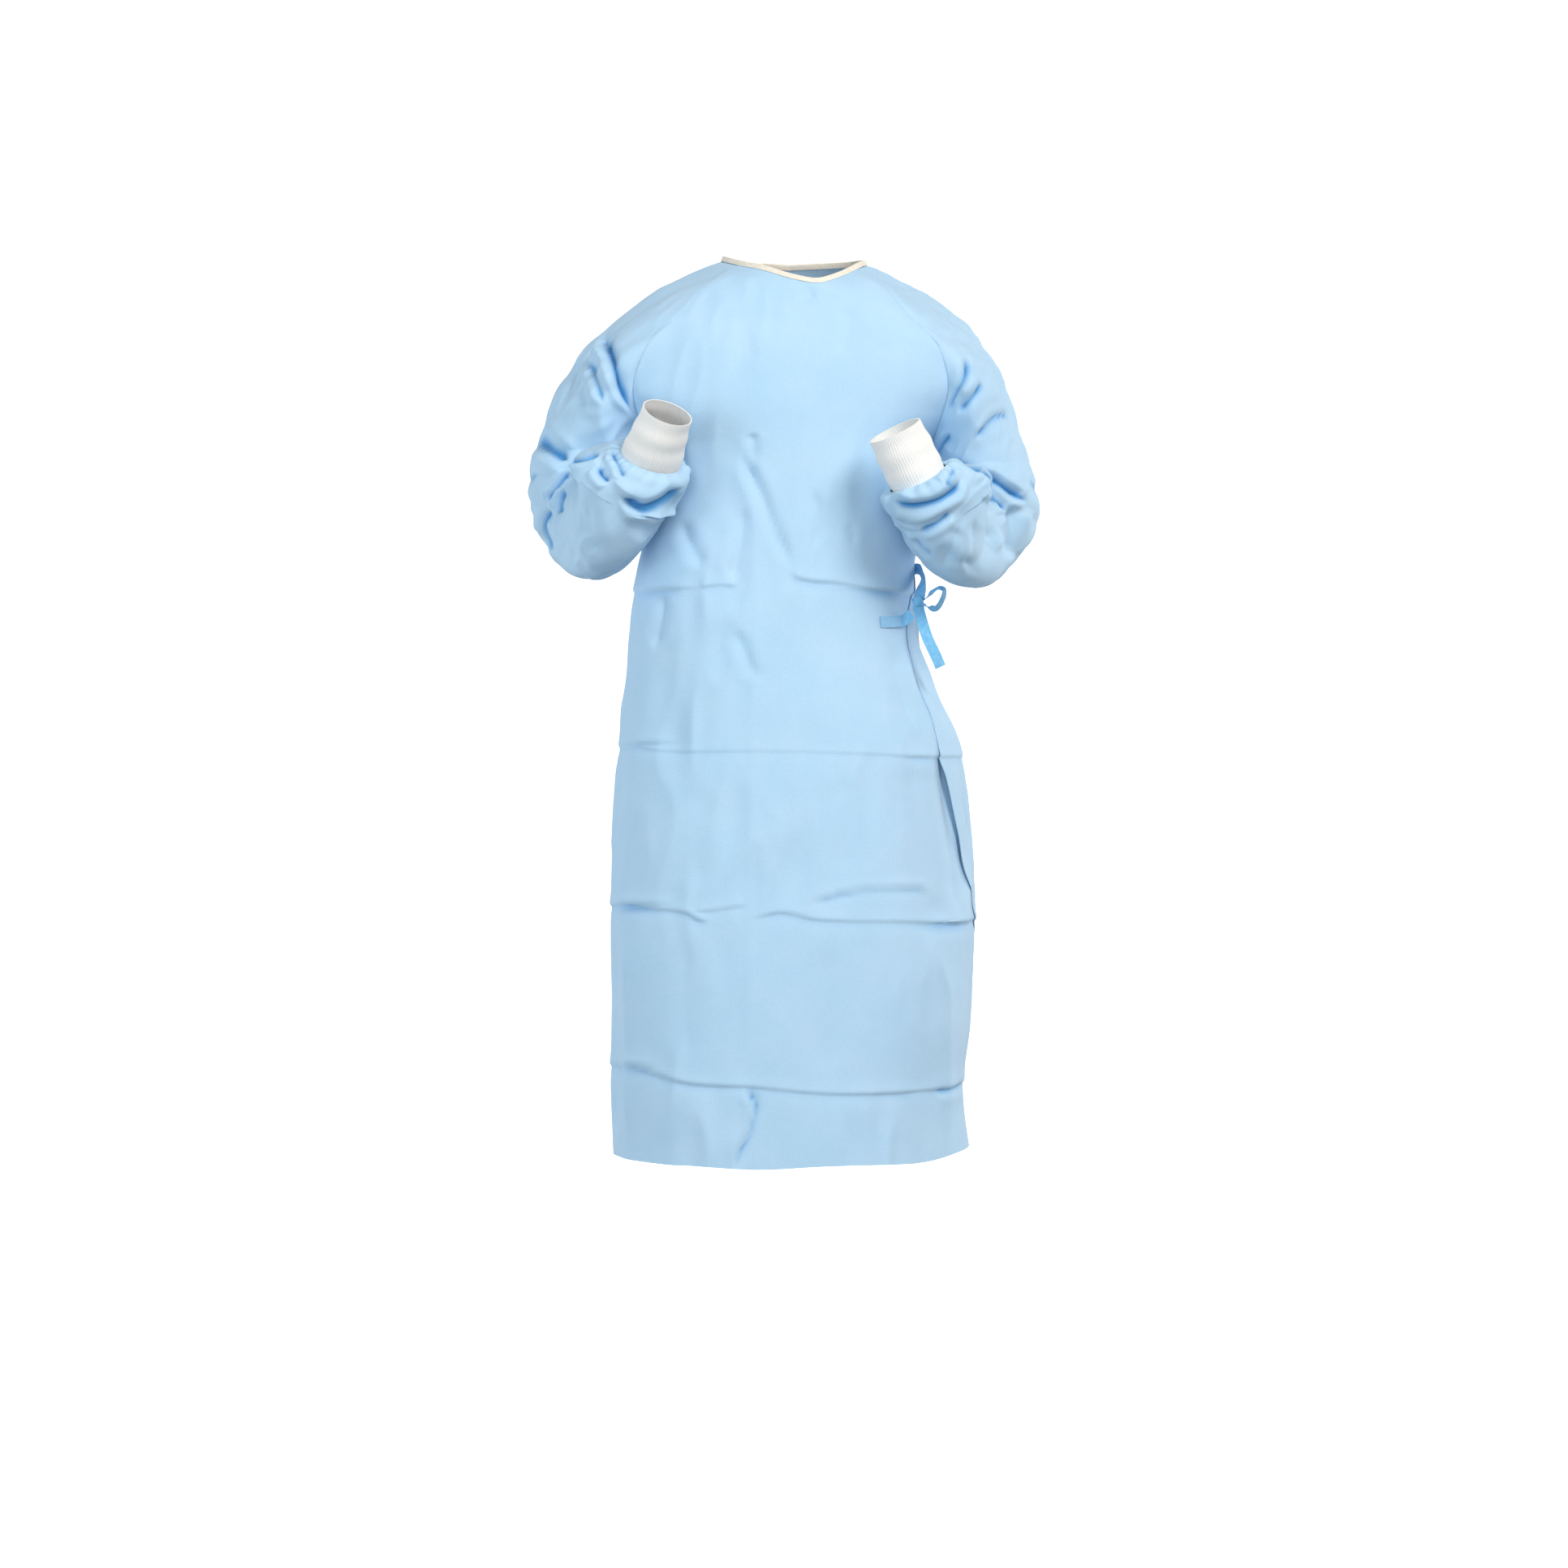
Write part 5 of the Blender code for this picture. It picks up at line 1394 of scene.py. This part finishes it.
# Finishes
def placed(name, data):
    """A new object in the scene."""
    obj = bpy.data.objects.new(name, data)
    bpy.context.scene.collection.objects.link(obj)
    return obj


def plug(tree, socket, value):
    """Gives a socket a plain value, or another node's output."""
    if isinstance(value, (int, float, tuple)):
        socket.default_value = value
    else:
        tree.links.new(value, socket)


def node(tree, kind, **inputs):
    made = tree.nodes.new(kind)
    for name, value in inputs.items():
        plug(tree, made.inputs[name.replace("_", " ")], value)
    return made


def new_finish(name, roughness, sheen=0.0):
    material = bpy.data.materials.new(name)
    material.use_nodes = True
    tree = material.node_tree
    shader = tree.nodes["Principled BSDF"]
    shader.inputs["Roughness"].default_value = roughness
    shader.inputs["Specular IOR Level"].default_value = 0.25
    shader.inputs["Sheen Weight"].default_value = sheen
    shader.inputs["Sheen Roughness"].default_value = 0.6
    return material, tree, shader


def cloth_map(tree, across, along=None):
    """The piece's map in metres, drawn closer together by these scales."""
    place = node(tree, "ShaderNodeTexCoord").outputs["UV"]
    scale = (across, across if along is None else along, across)
    return node(tree, "ShaderNodeMapping", Vector=place, Scale=scale).outputs["Vector"]


def noise_of(tree, vector, scale, detail=3.0, roughness=0.6):
    made = node(
        tree, "ShaderNodeTexNoise", Vector=vector, Scale=scale, Detail=detail, Roughness=roughness
    )
    return made.outputs["Fac"]


def ramp_of(tree, factor, low, high, shade, light):
    """The shade where the factor is under low, the light where it is over high."""
    made = node(tree, "ShaderNodeValToRGB", Fac=factor)
    for element, at, colour in zip(made.color_ramp.elements, (low, high), (shade, light)):
        element.position = at
        element.color = (*colour, 1.0)
    return made.outputs["Color"]


def math_of(tree, operation, *values):
    made = node(tree, "ShaderNodeMath")
    made.operation = operation
    for socket, value in zip(made.inputs, values):
        plug(tree, socket, value)
    return made.outputs["Value"]


def bump_of(tree, height, strength, distance, under=None):
    made = node(tree, "ShaderNodeBump", Height=height, Strength=strength, Distance=distance)
    if under is not None:
        tree.links.new(under, made.inputs["Normal"])
    return made.outputs["Normal"]


def mixed_colour(tree, blend, factor, first, second):
    made = node(tree, "ShaderNodeMix")
    made.data_type = "RGBA"
    made.blend_type = blend
    sockets = {s.name: s for s in made.inputs if s.enabled}
    for name, value in (("Factor", factor), ("A", first), ("B", second)):
        plug(tree, sockets[name], value)
    return [s for s in made.outputs if s.enabled][0]


def fold_shade_and_sewn_colour(tree, colour, tint, blend):
    """The colour, changed where the piece's own "folded" value is above 0."""
    # On the cloth this paints shade into the creases; on a tape it gives the sewn end its own colour
    depth = node(tree, "ShaderNodeAttribute")
    depth.attribute_name = "folded"
    return mixed_colour(tree, blend, depth.outputs["Fac"], colour, (*tint, 1.0))


def nonwoven_finish():
    """Spun-bonded cloth: laid fibres, bond points and a cloudy blue, with painted shade in its creases.
    """
    material, tree, shader = new_finish("nonwoven_blue", 0.78, 0.10)
    vector = cloth_map(tree, 1.0)
    cloud = noise_of(tree, vector, 9.0, 5.0, 0.7)
    fibre = noise_of(tree, cloth_map(tree, 1.0, 0.35), 1500.0, 2.0, 0.7)
    laid = noise_of(tree, vector, 420.0, 3.0, 0.6)
    blue = ramp_of(tree, cloud, 0.30, 0.70, CLOTH_SHADE, CLOTH_LIGHT)
    speck = ramp_of(tree, laid, 0.35, 0.65, SPECK_SHADE, SPECK_LIGHT)
    colour = mixed_colour(tree, "MULTIPLY", 1.0, blue, speck)
    # Painted shade: the blue made darker and deeper along the creases
    colour = fold_shade_and_sewn_colour(tree, colour, PAINTED_FOLD_SHADE, "MULTIPLY")
    tree.links.new(colour, shader.inputs["Base Color"])
    bond = node(
        tree, "ShaderNodeTexVoronoi", Vector=cloth_map(tree, 620.0), Scale=1.0, Randomness=0.15
    )
    dimple = math_of(tree, "MINIMUM", bond.outputs["Distance"], 0.45)
    first = bump_of(tree, laid, 0.35, 0.0006)
    second = bump_of(tree, fibre, 0.25, 0.0002, first)
    third = bump_of(tree, dimple, 0.35, 0.00025, second)
    tree.links.new(third, shader.inputs["Normal"])
    return material


def cross_ribs(tree, scale, distortion):
    """Fine ribs across a piece."""
    ribs = node(
        tree, "ShaderNodeTexWave", Vector=cloth_map(tree, scale), Scale=1.0, Distortion=distortion
    )
    ribs.bands_direction = "Y"
    return ribs


def knit_finish():
    """Rib-knitted yarn: small loops along each rib."""
    material, tree, shader = new_finish("rib_knit_white", 0.88, 0.25)
    loops = cross_ribs(tree, 260.0, 1.2)
    loops.inputs["Detail Scale"].default_value = 3.0
    fuzz = noise_of(tree, cloth_map(tree, 1.0), 900.0)
    yarn = ramp_of(tree, fuzz, 0.25, 0.75, KNIT_SHADE, KNIT_LIGHT)
    tree.links.new(yarn, shader.inputs["Base Color"])
    first = bump_of(tree, loops.outputs["Fac"], 0.12, 0.0002)
    second = bump_of(tree, fuzz, 0.25, 0.0003, first)
    tree.links.new(second, shader.inputs["Normal"])
    return material


def tape_finish(name, shade, light, sheen):
    """Narrow woven tape: a fine cross rib."""
    material, tree, shader = new_finish(name, 0.75, sheen)
    rib = cross_ribs(tree, 420.0, 0.4)
    cloud = noise_of(tree, cloth_map(tree, 1.0), 160.0)
    colour = ramp_of(tree, cloud, 0.30, 0.70, shade, light)
    colour = fold_shade_and_sewn_colour(tree, colour, SEWN_TAPE, "MIX")
    tree.links.new(colour, shader.inputs["Base Color"])
    first = bump_of(tree, rib.outputs["Fac"], 0.35, 0.0003)
    second = bump_of(tree, cloud, 0.25, 0.0006, first)
    tree.links.new(second, shader.inputs["Normal"])
    return material


def thread_finish():
    material, tree, shader = new_finish("sewing_thread", 0.55, 0.1)
    place = node(tree, "ShaderNodeTexCoord")
    twist = noise_of(tree, place.outputs["Object"], 2200.0, 1.0)
    colour = ramp_of(tree, twist, 0.3, 0.7, THREAD_SHADE, THREAD_LIGHT)
    tree.links.new(colour, shader.inputs["Base Color"])
    tree.links.new(bump_of(tree, twist, 0.3, 0.0002), shader.inputs["Normal"])
    return material


# What repeats: stitches and knitted ribs, by Geometry Nodes
def new_group(name, **inputs):
    """A Geometry Nodes group with geometry in and out, and numbers as its inputs."""
    tree = bpy.data.node_groups.new(name, "GeometryNodeTree")
    names = {}
    tree.interface.new_socket("Geometry", in_out="INPUT", socket_type="NodeSocketGeometry")
    for label, value in inputs.items():
        label = label.replace("_", " ")
        socket = tree.interface.new_socket(label, in_out="INPUT", socket_type="NodeSocketFloat")
        socket.default_value = value
        names[label] = socket.identifier
    tree.interface.new_socket("Geometry", in_out="OUTPUT", socket_type="NodeSocketGeometry")
    return tree, tree.nodes.new("NodeGroupInput").outputs, names


def end_group(tree, geometry, material):
    """Gives the geometry its material and sends it out of the group."""
    painted = node(tree, "GeometryNodeSetMaterial", Geometry=geometry)
    painted.inputs["Material"].default_value = material
    node(tree, "NodeGroupOutput", Geometry=painted.outputs["Geometry"])


def stitch_tree(material):
    """A row of short stitches along a line: pitch, stitch length and thread radius are its inputs."""
    tree, given, names = new_group(
        "stitch_row", Pitch=STITCH_PITCH, Stitch_Length=STITCH_LENGTH, Thread_Radius=THREAD_RADIUS
    )
    points = node(tree, "GeometryNodeResampleCurve", Curve=given["Geometry"])
    points.mode = "LENGTH"
    tree.links.new(given["Pitch"], points.inputs["Length"])
    tangent = node(tree, "GeometryNodeInputTangent").outputs["Tangent"]
    turn = node(tree, "FunctionNodeAlignRotationToVector", Vector=tangent)
    turn.axis = "Z"
    thread = node(
        tree, "GeometryNodeMeshUVSphere", Segments=THREAD_SIDES, Rings=THREAD_RINGS, Radius=1.0
    )
    half = math_of(tree, "MULTIPLY", given["Stitch Length"], 0.5)
    thick = given["Thread Radius"]
    size = node(tree, "ShaderNodeCombineXYZ", X=thick, Y=thick, Z=half).outputs["Vector"]
    shaped = node(tree, "GeometryNodeTransform", Geometry=thread.outputs["Mesh"], Scale=size)
    copies = node(
        tree, "GeometryNodeInstanceOnPoints", Points=points.outputs["Curve"],
        Instance=shaped.outputs["Geometry"], Rotation=turn.outputs["Rotation"],
    )
    real = node(tree, "GeometryNodeRealizeInstances", Geometry=copies.outputs["Instances"])
    smooth = node(tree, "GeometryNodeSetShadeSmooth", Geometry=real.outputs["Geometry"])
    end_group(tree, smooth.outputs["Geometry"], material)
    return tree, names


def applied(obj, name):
    """The object as a plain mesh, once its modifiers have run."""
    bpy.context.view_layer.update()
    graph = bpy.context.evaluated_depsgraph_get()
    mesh = bpy.data.meshes.new_from_object(obj.evaluated_get(graph))
    mesh.name = name
    made = placed(name, mesh)
    bpy.data.objects.remove(obj, do_unlink=True)
    return made


def with_group(obj, name, group, **values):
    """The object once a Geometry Nodes group has run on it with these numbers."""
    tree, names = group
    step = obj.modifiers.new(tree.name, "NODES")
    step.node_group = tree
    for label, value in values.items():
        step[names[label.replace("_", " ")]] = value
    return applied(obj, name)


def line_curve(name, lines):
    data = bpy.data.curves.new(name, "CURVE")
    data.dimensions = "3D"
    for line in lines:
        spline = data.splines.new("POLY")
        spline.points.add(len(line) - 1)
        spline.points.foreach_set("co", np.hstack([line, np.ones((len(line), 1))]).reshape(-1))
    return placed(name, data)


def stitch_rows(name, lines, pitch=STITCH_PITCH, length=STITCH_LENGTH):
    line = line_curve(name + "_line", lines)
    made = with_group(
        line, name, stitches, Pitch=pitch, Stitch_Length=length, Thread_Radius=THREAD_RADIUS
    )
    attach(made, "root")
    return made


def attribute_of(tree, name):
    found = node(tree, "GeometryNodeInputNamedAttribute")
    found.data_type = "FLOAT"
    found.inputs["Name"].default_value = name
    return found.outputs["Attribute"]


def rib_tree(material):
    """Knitted ribs round a cuff, along its round_wrist attribute: count and depth are its inputs."""
    tree, given, names = new_group("knit_ribs", Rib_Count=RIB_COUNT, Rib_Depth=RIB_DEPTH)
    ribs = math_of(tree, "MULTIPLY", attribute_of(tree, "round_wrist"), given["Rib Count"])
    wave = math_of(tree, "SINE", math_of(tree, "MULTIPLY", ribs, 2 * math.pi))
    height = math_of(tree, "MULTIPLY", wave, given["Rib Depth"])
    height = math_of(tree, "MULTIPLY", height, attribute_of(tree, "rib_hold"))
    away = node(tree, "ShaderNodeVectorMath")
    away.operation = "SCALE"
    tree.links.new(node(tree, "GeometryNodeInputNormal").outputs["Normal"], away.inputs[0])
    tree.links.new(height, away.inputs["Scale"])
    move = node(
        tree, "GeometryNodeSetPosition", Geometry=given["Geometry"], Offset=away.outputs["Vector"]
    )
    real = node(tree, "GeometryNodeRealizeInstances", Geometry=move.outputs["Geometry"])
    end_group(tree, real.outputs["Geometry"], material)
    return tree, names


# Cuffs
def fine_cuff(side, name):
    """A cuff drawn in at the seam, with small soft rolls, before its ribs are raised."""
    _, elbow, forearm, cuff = sleeve_sizes(side)
    axis, across, out = cuff_frame(cuff, elbow)
    turns = np.linspace(0, 2 * math.pi, RIB_COUNT * RIB_POINTS, endpoint=False)
    rings = []
    for share in even(-CUFF_TUCK, 1, CUFF_ROWS + 1):
        held = max(share, 0.0)
        wide = forearm[-1][1] * (1 - held) + WRIST_HALF[0] * held - CUFF_CLEAR
        deep = forearm[-1][2] * (1 - held) + WRIST_HALF[1] * held - CUFF_CLEAR
        roll = CUFF_ROLL * math.sin(math.pi * held) - CUFF_RIPPLE * math.cos(5 * math.pi * share)
        lean = CUFF_LEAN * np.sin(2 * turns + 3.0 * share + side)
        middle = np.asarray(cuff["seam"]) + axis * CUFF_LENGTH * share
        ring = middle + out * ((deep + roll + lean) * np.cos(turns))[:, None]
        rings.append(ring + across * ((wide + roll + lean) * np.sin(turns))[:, None])
    grid = np.array(rings)
    obj = shell_object(name, grid, vertex_normals(grid, True), KNIT_THICKNESS, True, "knit_cuff")
    rows, columns = grid.shape[:2]
    around = np.tile(np.arange(columns) / columns, rows * 2)
    share = np.repeat(even(0, 1, rows), columns)
    hold = np.minimum(1.0, (1 - share) * RIB_RUN_OUT + RIB_AT_WRIST)
    point_values(obj.data, "round_wrist", around)
    point_values(obj.data, "rib_hold", np.concatenate([hold, -hold]))
    obj.name = name + "_plain"
    return with_group(obj, name, ribs, Rib_Count=float(RIB_COUNT), Rib_Depth=RIB_DEPTH)


# Neck binding: a strip folded over the edge
def binding_strip():
    start = INNER_TORSO_EDGE[-1][1] + 360.0
    end = FLAP_TORSO_EDGE[-1][1] - 360.0
    angles = even(start, end, BINDING_COLUMNS + 1)
    foot = neck_point(within_turn(angles))
    inward = unit((np.array(NECK_MIDDLE) - foot) * np.array([1.0, 1.0, 0.0]))
    layer = softened((-NECK_BACK - angles) / BINDING_LIFT_TURN)
    foot = foot - inward * (FLAP_LIFT * layer)[:, None]
    rise = unit(inward * BINDING_LEAN + np.array([0.0, 0.0, 1.0]))
    tangent = unit(np.gradient(foot, axis=0))
    side = unit(np.cross(tangent, rise))
    side = side * np.sign((side * -inward).sum(axis=1, keepdims=True))
    ease = 0.35 * waves(foot, *BINDING_FIELD)
    rows = []
    height = BINDING_HEIGHT - BINDING_FOLD
    profile = [(BINDING_FOLD, 0.0), (BINDING_FOLD, height * 0.5), (BINDING_FOLD, height)]
    for turn in even(0, 180, BINDING_TURNS)[1:-1]:
        turn = math.radians(turn)
        profile.append((BINDING_FOLD * math.cos(turn), height + BINDING_FOLD * math.sin(turn)))
    profile += [(-BINDING_FOLD, height), (-BINDING_FOLD, height * 0.5), (-BINDING_FOLD, 0.0)]
    for out, up in profile:
        swell = 1 + 0.10 * ease
        rows.append(foot + side * (out * swell)[:, None] + rise * up)
    grid = np.array(rows)
    normals = vertex_normals(grid, False)
    outward = (normals[0] * side).sum()
    return grid, normals if outward > 0 else -normals


# Tapes
def loop_ways(path):
    """The loop's tape opens outwards as it goes round, so that its face shows."""
    path = np.array(path)
    out = unit((path - path.mean(axis=0)) * np.array([1.0, 0.0, 1.0]))
    ways = np.array([0.0, 1.0, 0.0]) + LOOP_OPENING * out
    ways[:2] = ways[-2:] = LOOP_ROOT_WAY
    return ways


def ribbon(name, path, ways, steps, width, wrinkle, sewn=0.0):
    at = even(0, 1, steps + 1)
    centre = smooth_path(path, at)
    ways = unit(np.array(ways, float))
    place = even(0, 1, len(ways))
    way = np.stack([np.interp(at, place, ways[:, k]) for k in range(3)], axis=1)
    tangent = unit(np.gradient(centre, axis=0))
    way = unit(way - tangent * (way * tangent).sum(axis=1)[:, None])
    normal = unit(np.cross(tangent, way))
    run = np.concatenate([[0], np.cumsum(np.linalg.norm(np.diff(centre, axis=0), axis=1))])
    rows, lengths = [], []
    for share in even(-0.5, 0.5, TAPE_COLUMNS):
        ripple = TAPE_RIPPLE * np.sin(run * RIPPLES_A_METRE + 5 * share)
        cup = wrinkle * (np.cos(2 * math.pi * share) * 0.5 + ripple)
        rows.append(centre + way * width * share + normal * cup[:, None])
        lengths.append(np.stack([np.full(len(run), width * share), run], axis=1))
    grid = np.array(rows)
    pale = np.tile(softened((sewn - run / run[-1]) / SEWN_BLEND), (len(grid), 1))
    normals = vertex_normals(grid, False)
    lengths = np.array(lengths)
    return shell_object(name, grid, normals, TAPE_THICKNESS, False, "tie_tape", lengths, pale)


# Knot
def knot_wraps():
    """The knot: two short tapes drawn tight round one another, and the bulge that they make."""
    made = []
    centre = np.array(KNOT)
    for name, tilt, size, width, turns in KNOT_WRAPS:
        at = even(0, 1, KNOT_POINTS)
        angle = 2 * math.pi * turns * at
        reach = size * (1 + 0.10 * np.sin(3 * angle) + 0.12 * at)
        path = np.stack([
            reach * np.cos(angle),
            KNOT_DEPTH * reach * np.sin(angle),
            KNOT_SPREAD * (at - 0.5) + KNOT_SWAY * np.sin(2 * angle),
        ], axis=1)
        spin = math.radians(tilt)
        turned = path.copy()
        turned[:, 0] = path[:, 0] * math.cos(spin) - path[:, 2] * math.sin(spin)
        turned[:, 2] = path[:, 0] * math.sin(spin) + path[:, 2] * math.cos(spin)
        way = np.array([-math.sin(spin), 0.0, math.cos(spin)])
        made.append(ribbon(name, turned + centre, (way, way), KNOT_STEPS, width, KNOT_CUP))
    return made


# Studio
def paper_finish():
    material, tree, shader = new_finish("studio_paper", 0.9)
    place = node(tree, "ShaderNodeTexCoord")
    grain = noise_of(tree, place.outputs["Object"], 3.0)
    colour = ramp_of(tree, grain, 0.3, 0.7, PAPER_SHADE, PAPER_LIGHT)
    tree.links.new(colour, shader.inputs["Base Color"])
    shader.inputs["Emission Color"].default_value = (1.0, 1.0, 1.0, 1.0)
    shader.inputs["Emission Strength"].default_value = PAPER_GLOW
    return material


def studio():
    """A white floor that bends up into a white wall all round; it is only seen, and lights nothing."""
    profile = [(0.0, FLOOR_Z), (SURROUND_REACH - SURROUND_BEND, FLOOR_Z)]
    for turn in even(0, 90, 9)[1:]:
        turn = math.radians(turn)
        profile.append((
            SURROUND_REACH - SURROUND_BEND + SURROUND_BEND * math.sin(turn),
            FLOOR_Z + SURROUND_BEND * (1 - math.cos(turn)),
        ))
    profile += [(SURROUND_REACH, SURROUND_HEIGHT), (0.0, SURROUND_HEIGHT)]
    points = []
    for side in range(SURROUND_SIDES):
        turn = 2 * math.pi * side / SURROUND_SIDES
        points += [(reach * math.cos(turn), reach * math.sin(turn), z) for reach, z in profile]
    count = len(profile)
    faces = []
    for side in range(SURROUND_SIDES):
        near, far = side * count, (side + 1) % SURROUND_SIDES * count
        faces += [(near + i, far + i, far + i + 1, near + i + 1) for i in range(count - 1)]
    mesh = bpy.data.meshes.new("studio_floor")
    mesh.from_pydata(points, [], faces)
    mesh.shade_smooth()
    mesh.materials.append(paper_finish())
    floor = placed("studio_floor", mesh)
    floor.visible_diffuse = False
    floor.visible_glossy = False
    floor.visible_shadow = False
    world = bpy.data.worlds.new("studio")
    world.use_nodes = True
    world.node_tree.nodes["Background"].inputs["Color"].default_value = (1.0, 1.0, 1.0, 1.0)
    world.node_tree.nodes["Background"].inputs["Strength"].default_value = ROOM_LIGHT
    bpy.context.scene.world = world
    for name, place, size, power, colour in LIGHTS:
        light = bpy.data.lights.new(name, "AREA")
        light.color = colour
        light.size = size
        light.energy = power
        lamp = placed(name, light)
        lamp.location = place
        way = mathutils.Vector(LIGHT_AIM) - lamp.location
        lamp.rotation_euler = way.to_track_quat("-Z", "Y").to_euler()
    camera = bpy.data.cameras.new("camera")
    camera.lens = CAMERA_LENS
    camera.sensor_width = CAMERA_SENSOR
    stand = placed("camera", camera)
    stand.location = CAMERA_PLACE
    stand.rotation_euler = (math.pi / 2, 0.0, 0.0)
    bpy.context.scene.camera = stand
    bpy.context.scene.view_settings.view_transform = "Standard"


def place_piece(piece, slot, *nodes):
    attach(piece, "root")
    if nodes:
        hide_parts(*nodes)
    return piece


finishes = {
    "gown_cloth": nonwoven_finish(),
    "knit_cuff": knit_finish(),
    "neck_binding": tape_finish("binding_cream", BINDING_SHADE, BINDING_LIGHT, 0.1),
    "tie_tape": tape_finish("tape_blue", TAPE_SHADE, TAPE_LIGHT, 0.1),
    "fastener": tape_finish("patch_loops", PATCH_SHADE, PATCH_LIGHT, 0.3),
    "thread": thread_finish(),
}
stitches = stitch_tree(finishes["thread"])
ribs = rib_tree(finishes["knit_cuff"])

# Sewn cloth pieces
panels = [
    make_panel("front_panel", front_grid(), False, ("first", "last")),
    make_panel("back_panel_outer", outer_grid()[:, ::-1], False, ("last",)),
    make_panel("back_panel_inner", inner_grid()[:, ::-1], False, ("first",)),
    make_panel("sleeve_left", sleeve_grid(1)[:, ::-1], True),
    make_panel("sleeve_right", sleeve_grid(-1), True),
]
join_seams(panels)
dress_panels(panels)
join_seams(panels)
for panel in panels:
    piece = shell_object(
        CLOTH_NAMES[panel["name"]], panel["moved"], panel["shared"], CLOTH_WALL, panel["closed"],
        "gown_cloth", surface_lengths(panel["grid"]), panel["folded"],
    )
    place_piece(piece, "gown_cloth", panel["name"])

# Stitches along the seams
def seam_line(panel, rows, columns):
    """Points just outside the cloth along one row or column of a piece."""
    away = CLOTH_WALL / 2 + STITCH_STAND
    return panel["moved"][rows, columns] + panel["shared"][rows, columns] * away


def sewn_square():
    """Points just over the sewn end of the front tie, once round its square of stitches."""
    path = smooth_path(front_tie_path(), even(0, 1, SQUARE_POINTS))
    run = np.concatenate([[0], np.cumsum(np.linalg.norm(np.diff(path, axis=0), axis=1))])
    inside = path[(run > SQUARE_MARGIN) & (run < SQUARE_MARGIN + SQUARE_LENGTH)]
    up = np.array([0.0, 0.0, 1.0])
    out = unit(np.cross(inside[-1] - inside[0], up))
    out = -out * np.sign(out[1])
    inside = inside + out * (TAPE_THICKNESS / 2 + TAPE_CUP + STITCH_STAND)
    half = up * (TAPE_WIDTH / 2 - SQUARE_MARGIN)
    return np.vstack([inside - half, (inside + half)[::-1], inside[:1] - half])


def ring_line(panel, row):
    ring = seam_line(panel, row, slice(None))
    return np.vstack([ring, ring[:1]])


by_name = {panel["name"]: panel for panel in panels}
skirt, torso = slice(2, SKIRT_ROWS), slice(SKIRT_ROWS, SKIRT_ROWS + TORSO_ROWS + 1)
seam_stitches = (
    ("raglan_stitches", [
        seam_line(by_name["front_panel"], torso, 1),
        seam_line(by_name["front_panel"], torso, -2),
        seam_line(by_name["back_panel_outer"], torso, -2),
        seam_line(by_name["back_panel_inner"], torso, 1),
    ]),
    ("side_seam_stitches", [
        seam_line(by_name["front_panel"], skirt, 1),
        seam_line(by_name["front_panel"], skirt, -2),
    ]),
    ("sleeve_end_stitches", [
        ring_line(by_name["sleeve_left"], -2),
        ring_line(by_name["sleeve_right"], -2),
    ]),
)
for name, seam_lines in seam_stitches:
    stitch_rows(name, seam_lines)

# Cuffs, binding, ties and patch
for side, name, node_name in (
    (1, "left_knit_cuff", "cuff_left"),
    (-1, "right_knit_cuff", "cuff_right"),
):
    place_piece(fine_cuff(side, name), "knit_cuff", node_name)
strip, strip_normals = binding_strip()
strip_piece = shell_object(
    "folded_neck_binding", strip, strip_normals, BINDING_THICKNESS, False, "neck_binding"
)
place_piece(strip_piece, "neck_binding", "neck_binding")
loop_path = (KNOT, *BOW_LOOP_PATH, KNOT)
for name, node_name, path, ways in (
    ("front_tie_tape", "front_tie", front_tie_path(), FRONT_TIE_WAYS),
    ("back_tie_tape", "back_tie", back_tie_path(), BACK_TIE_WAYS),
    ("bow_loop_tape", "bow_loop", loop_path, loop_ways(loop_path)),
    ("hanging_tail_tape", "tie_tail", (KNOT, *TAIL_PATH), TAIL_WAYS),
):
    sewn = SEWN_END if node_name == "front_tie" else 0.0
    piece = ribbon(name, path, ways, RIBBON_STEPS, TAPE_WIDTH, TAPE_CUP, sewn)
    place_piece(piece, "tie_tape", node_name)
stitch_rows("tie_end_stitches", [sewn_square()], SQUARE_PITCH, SQUARE_STITCH)
wraps = knot_wraps()
for wrap in wraps:
    place_piece(wrap, "tie_tape")
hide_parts("tie_knot")
patch = fastener_grid()
patch_piece = shell_object(
    "neck_patch", patch, vertex_normals(patch, False), TAPE_THICKNESS, False, "fastener"
)
place_piece(patch_piece, "fastener", "neck_fastener")

studio()
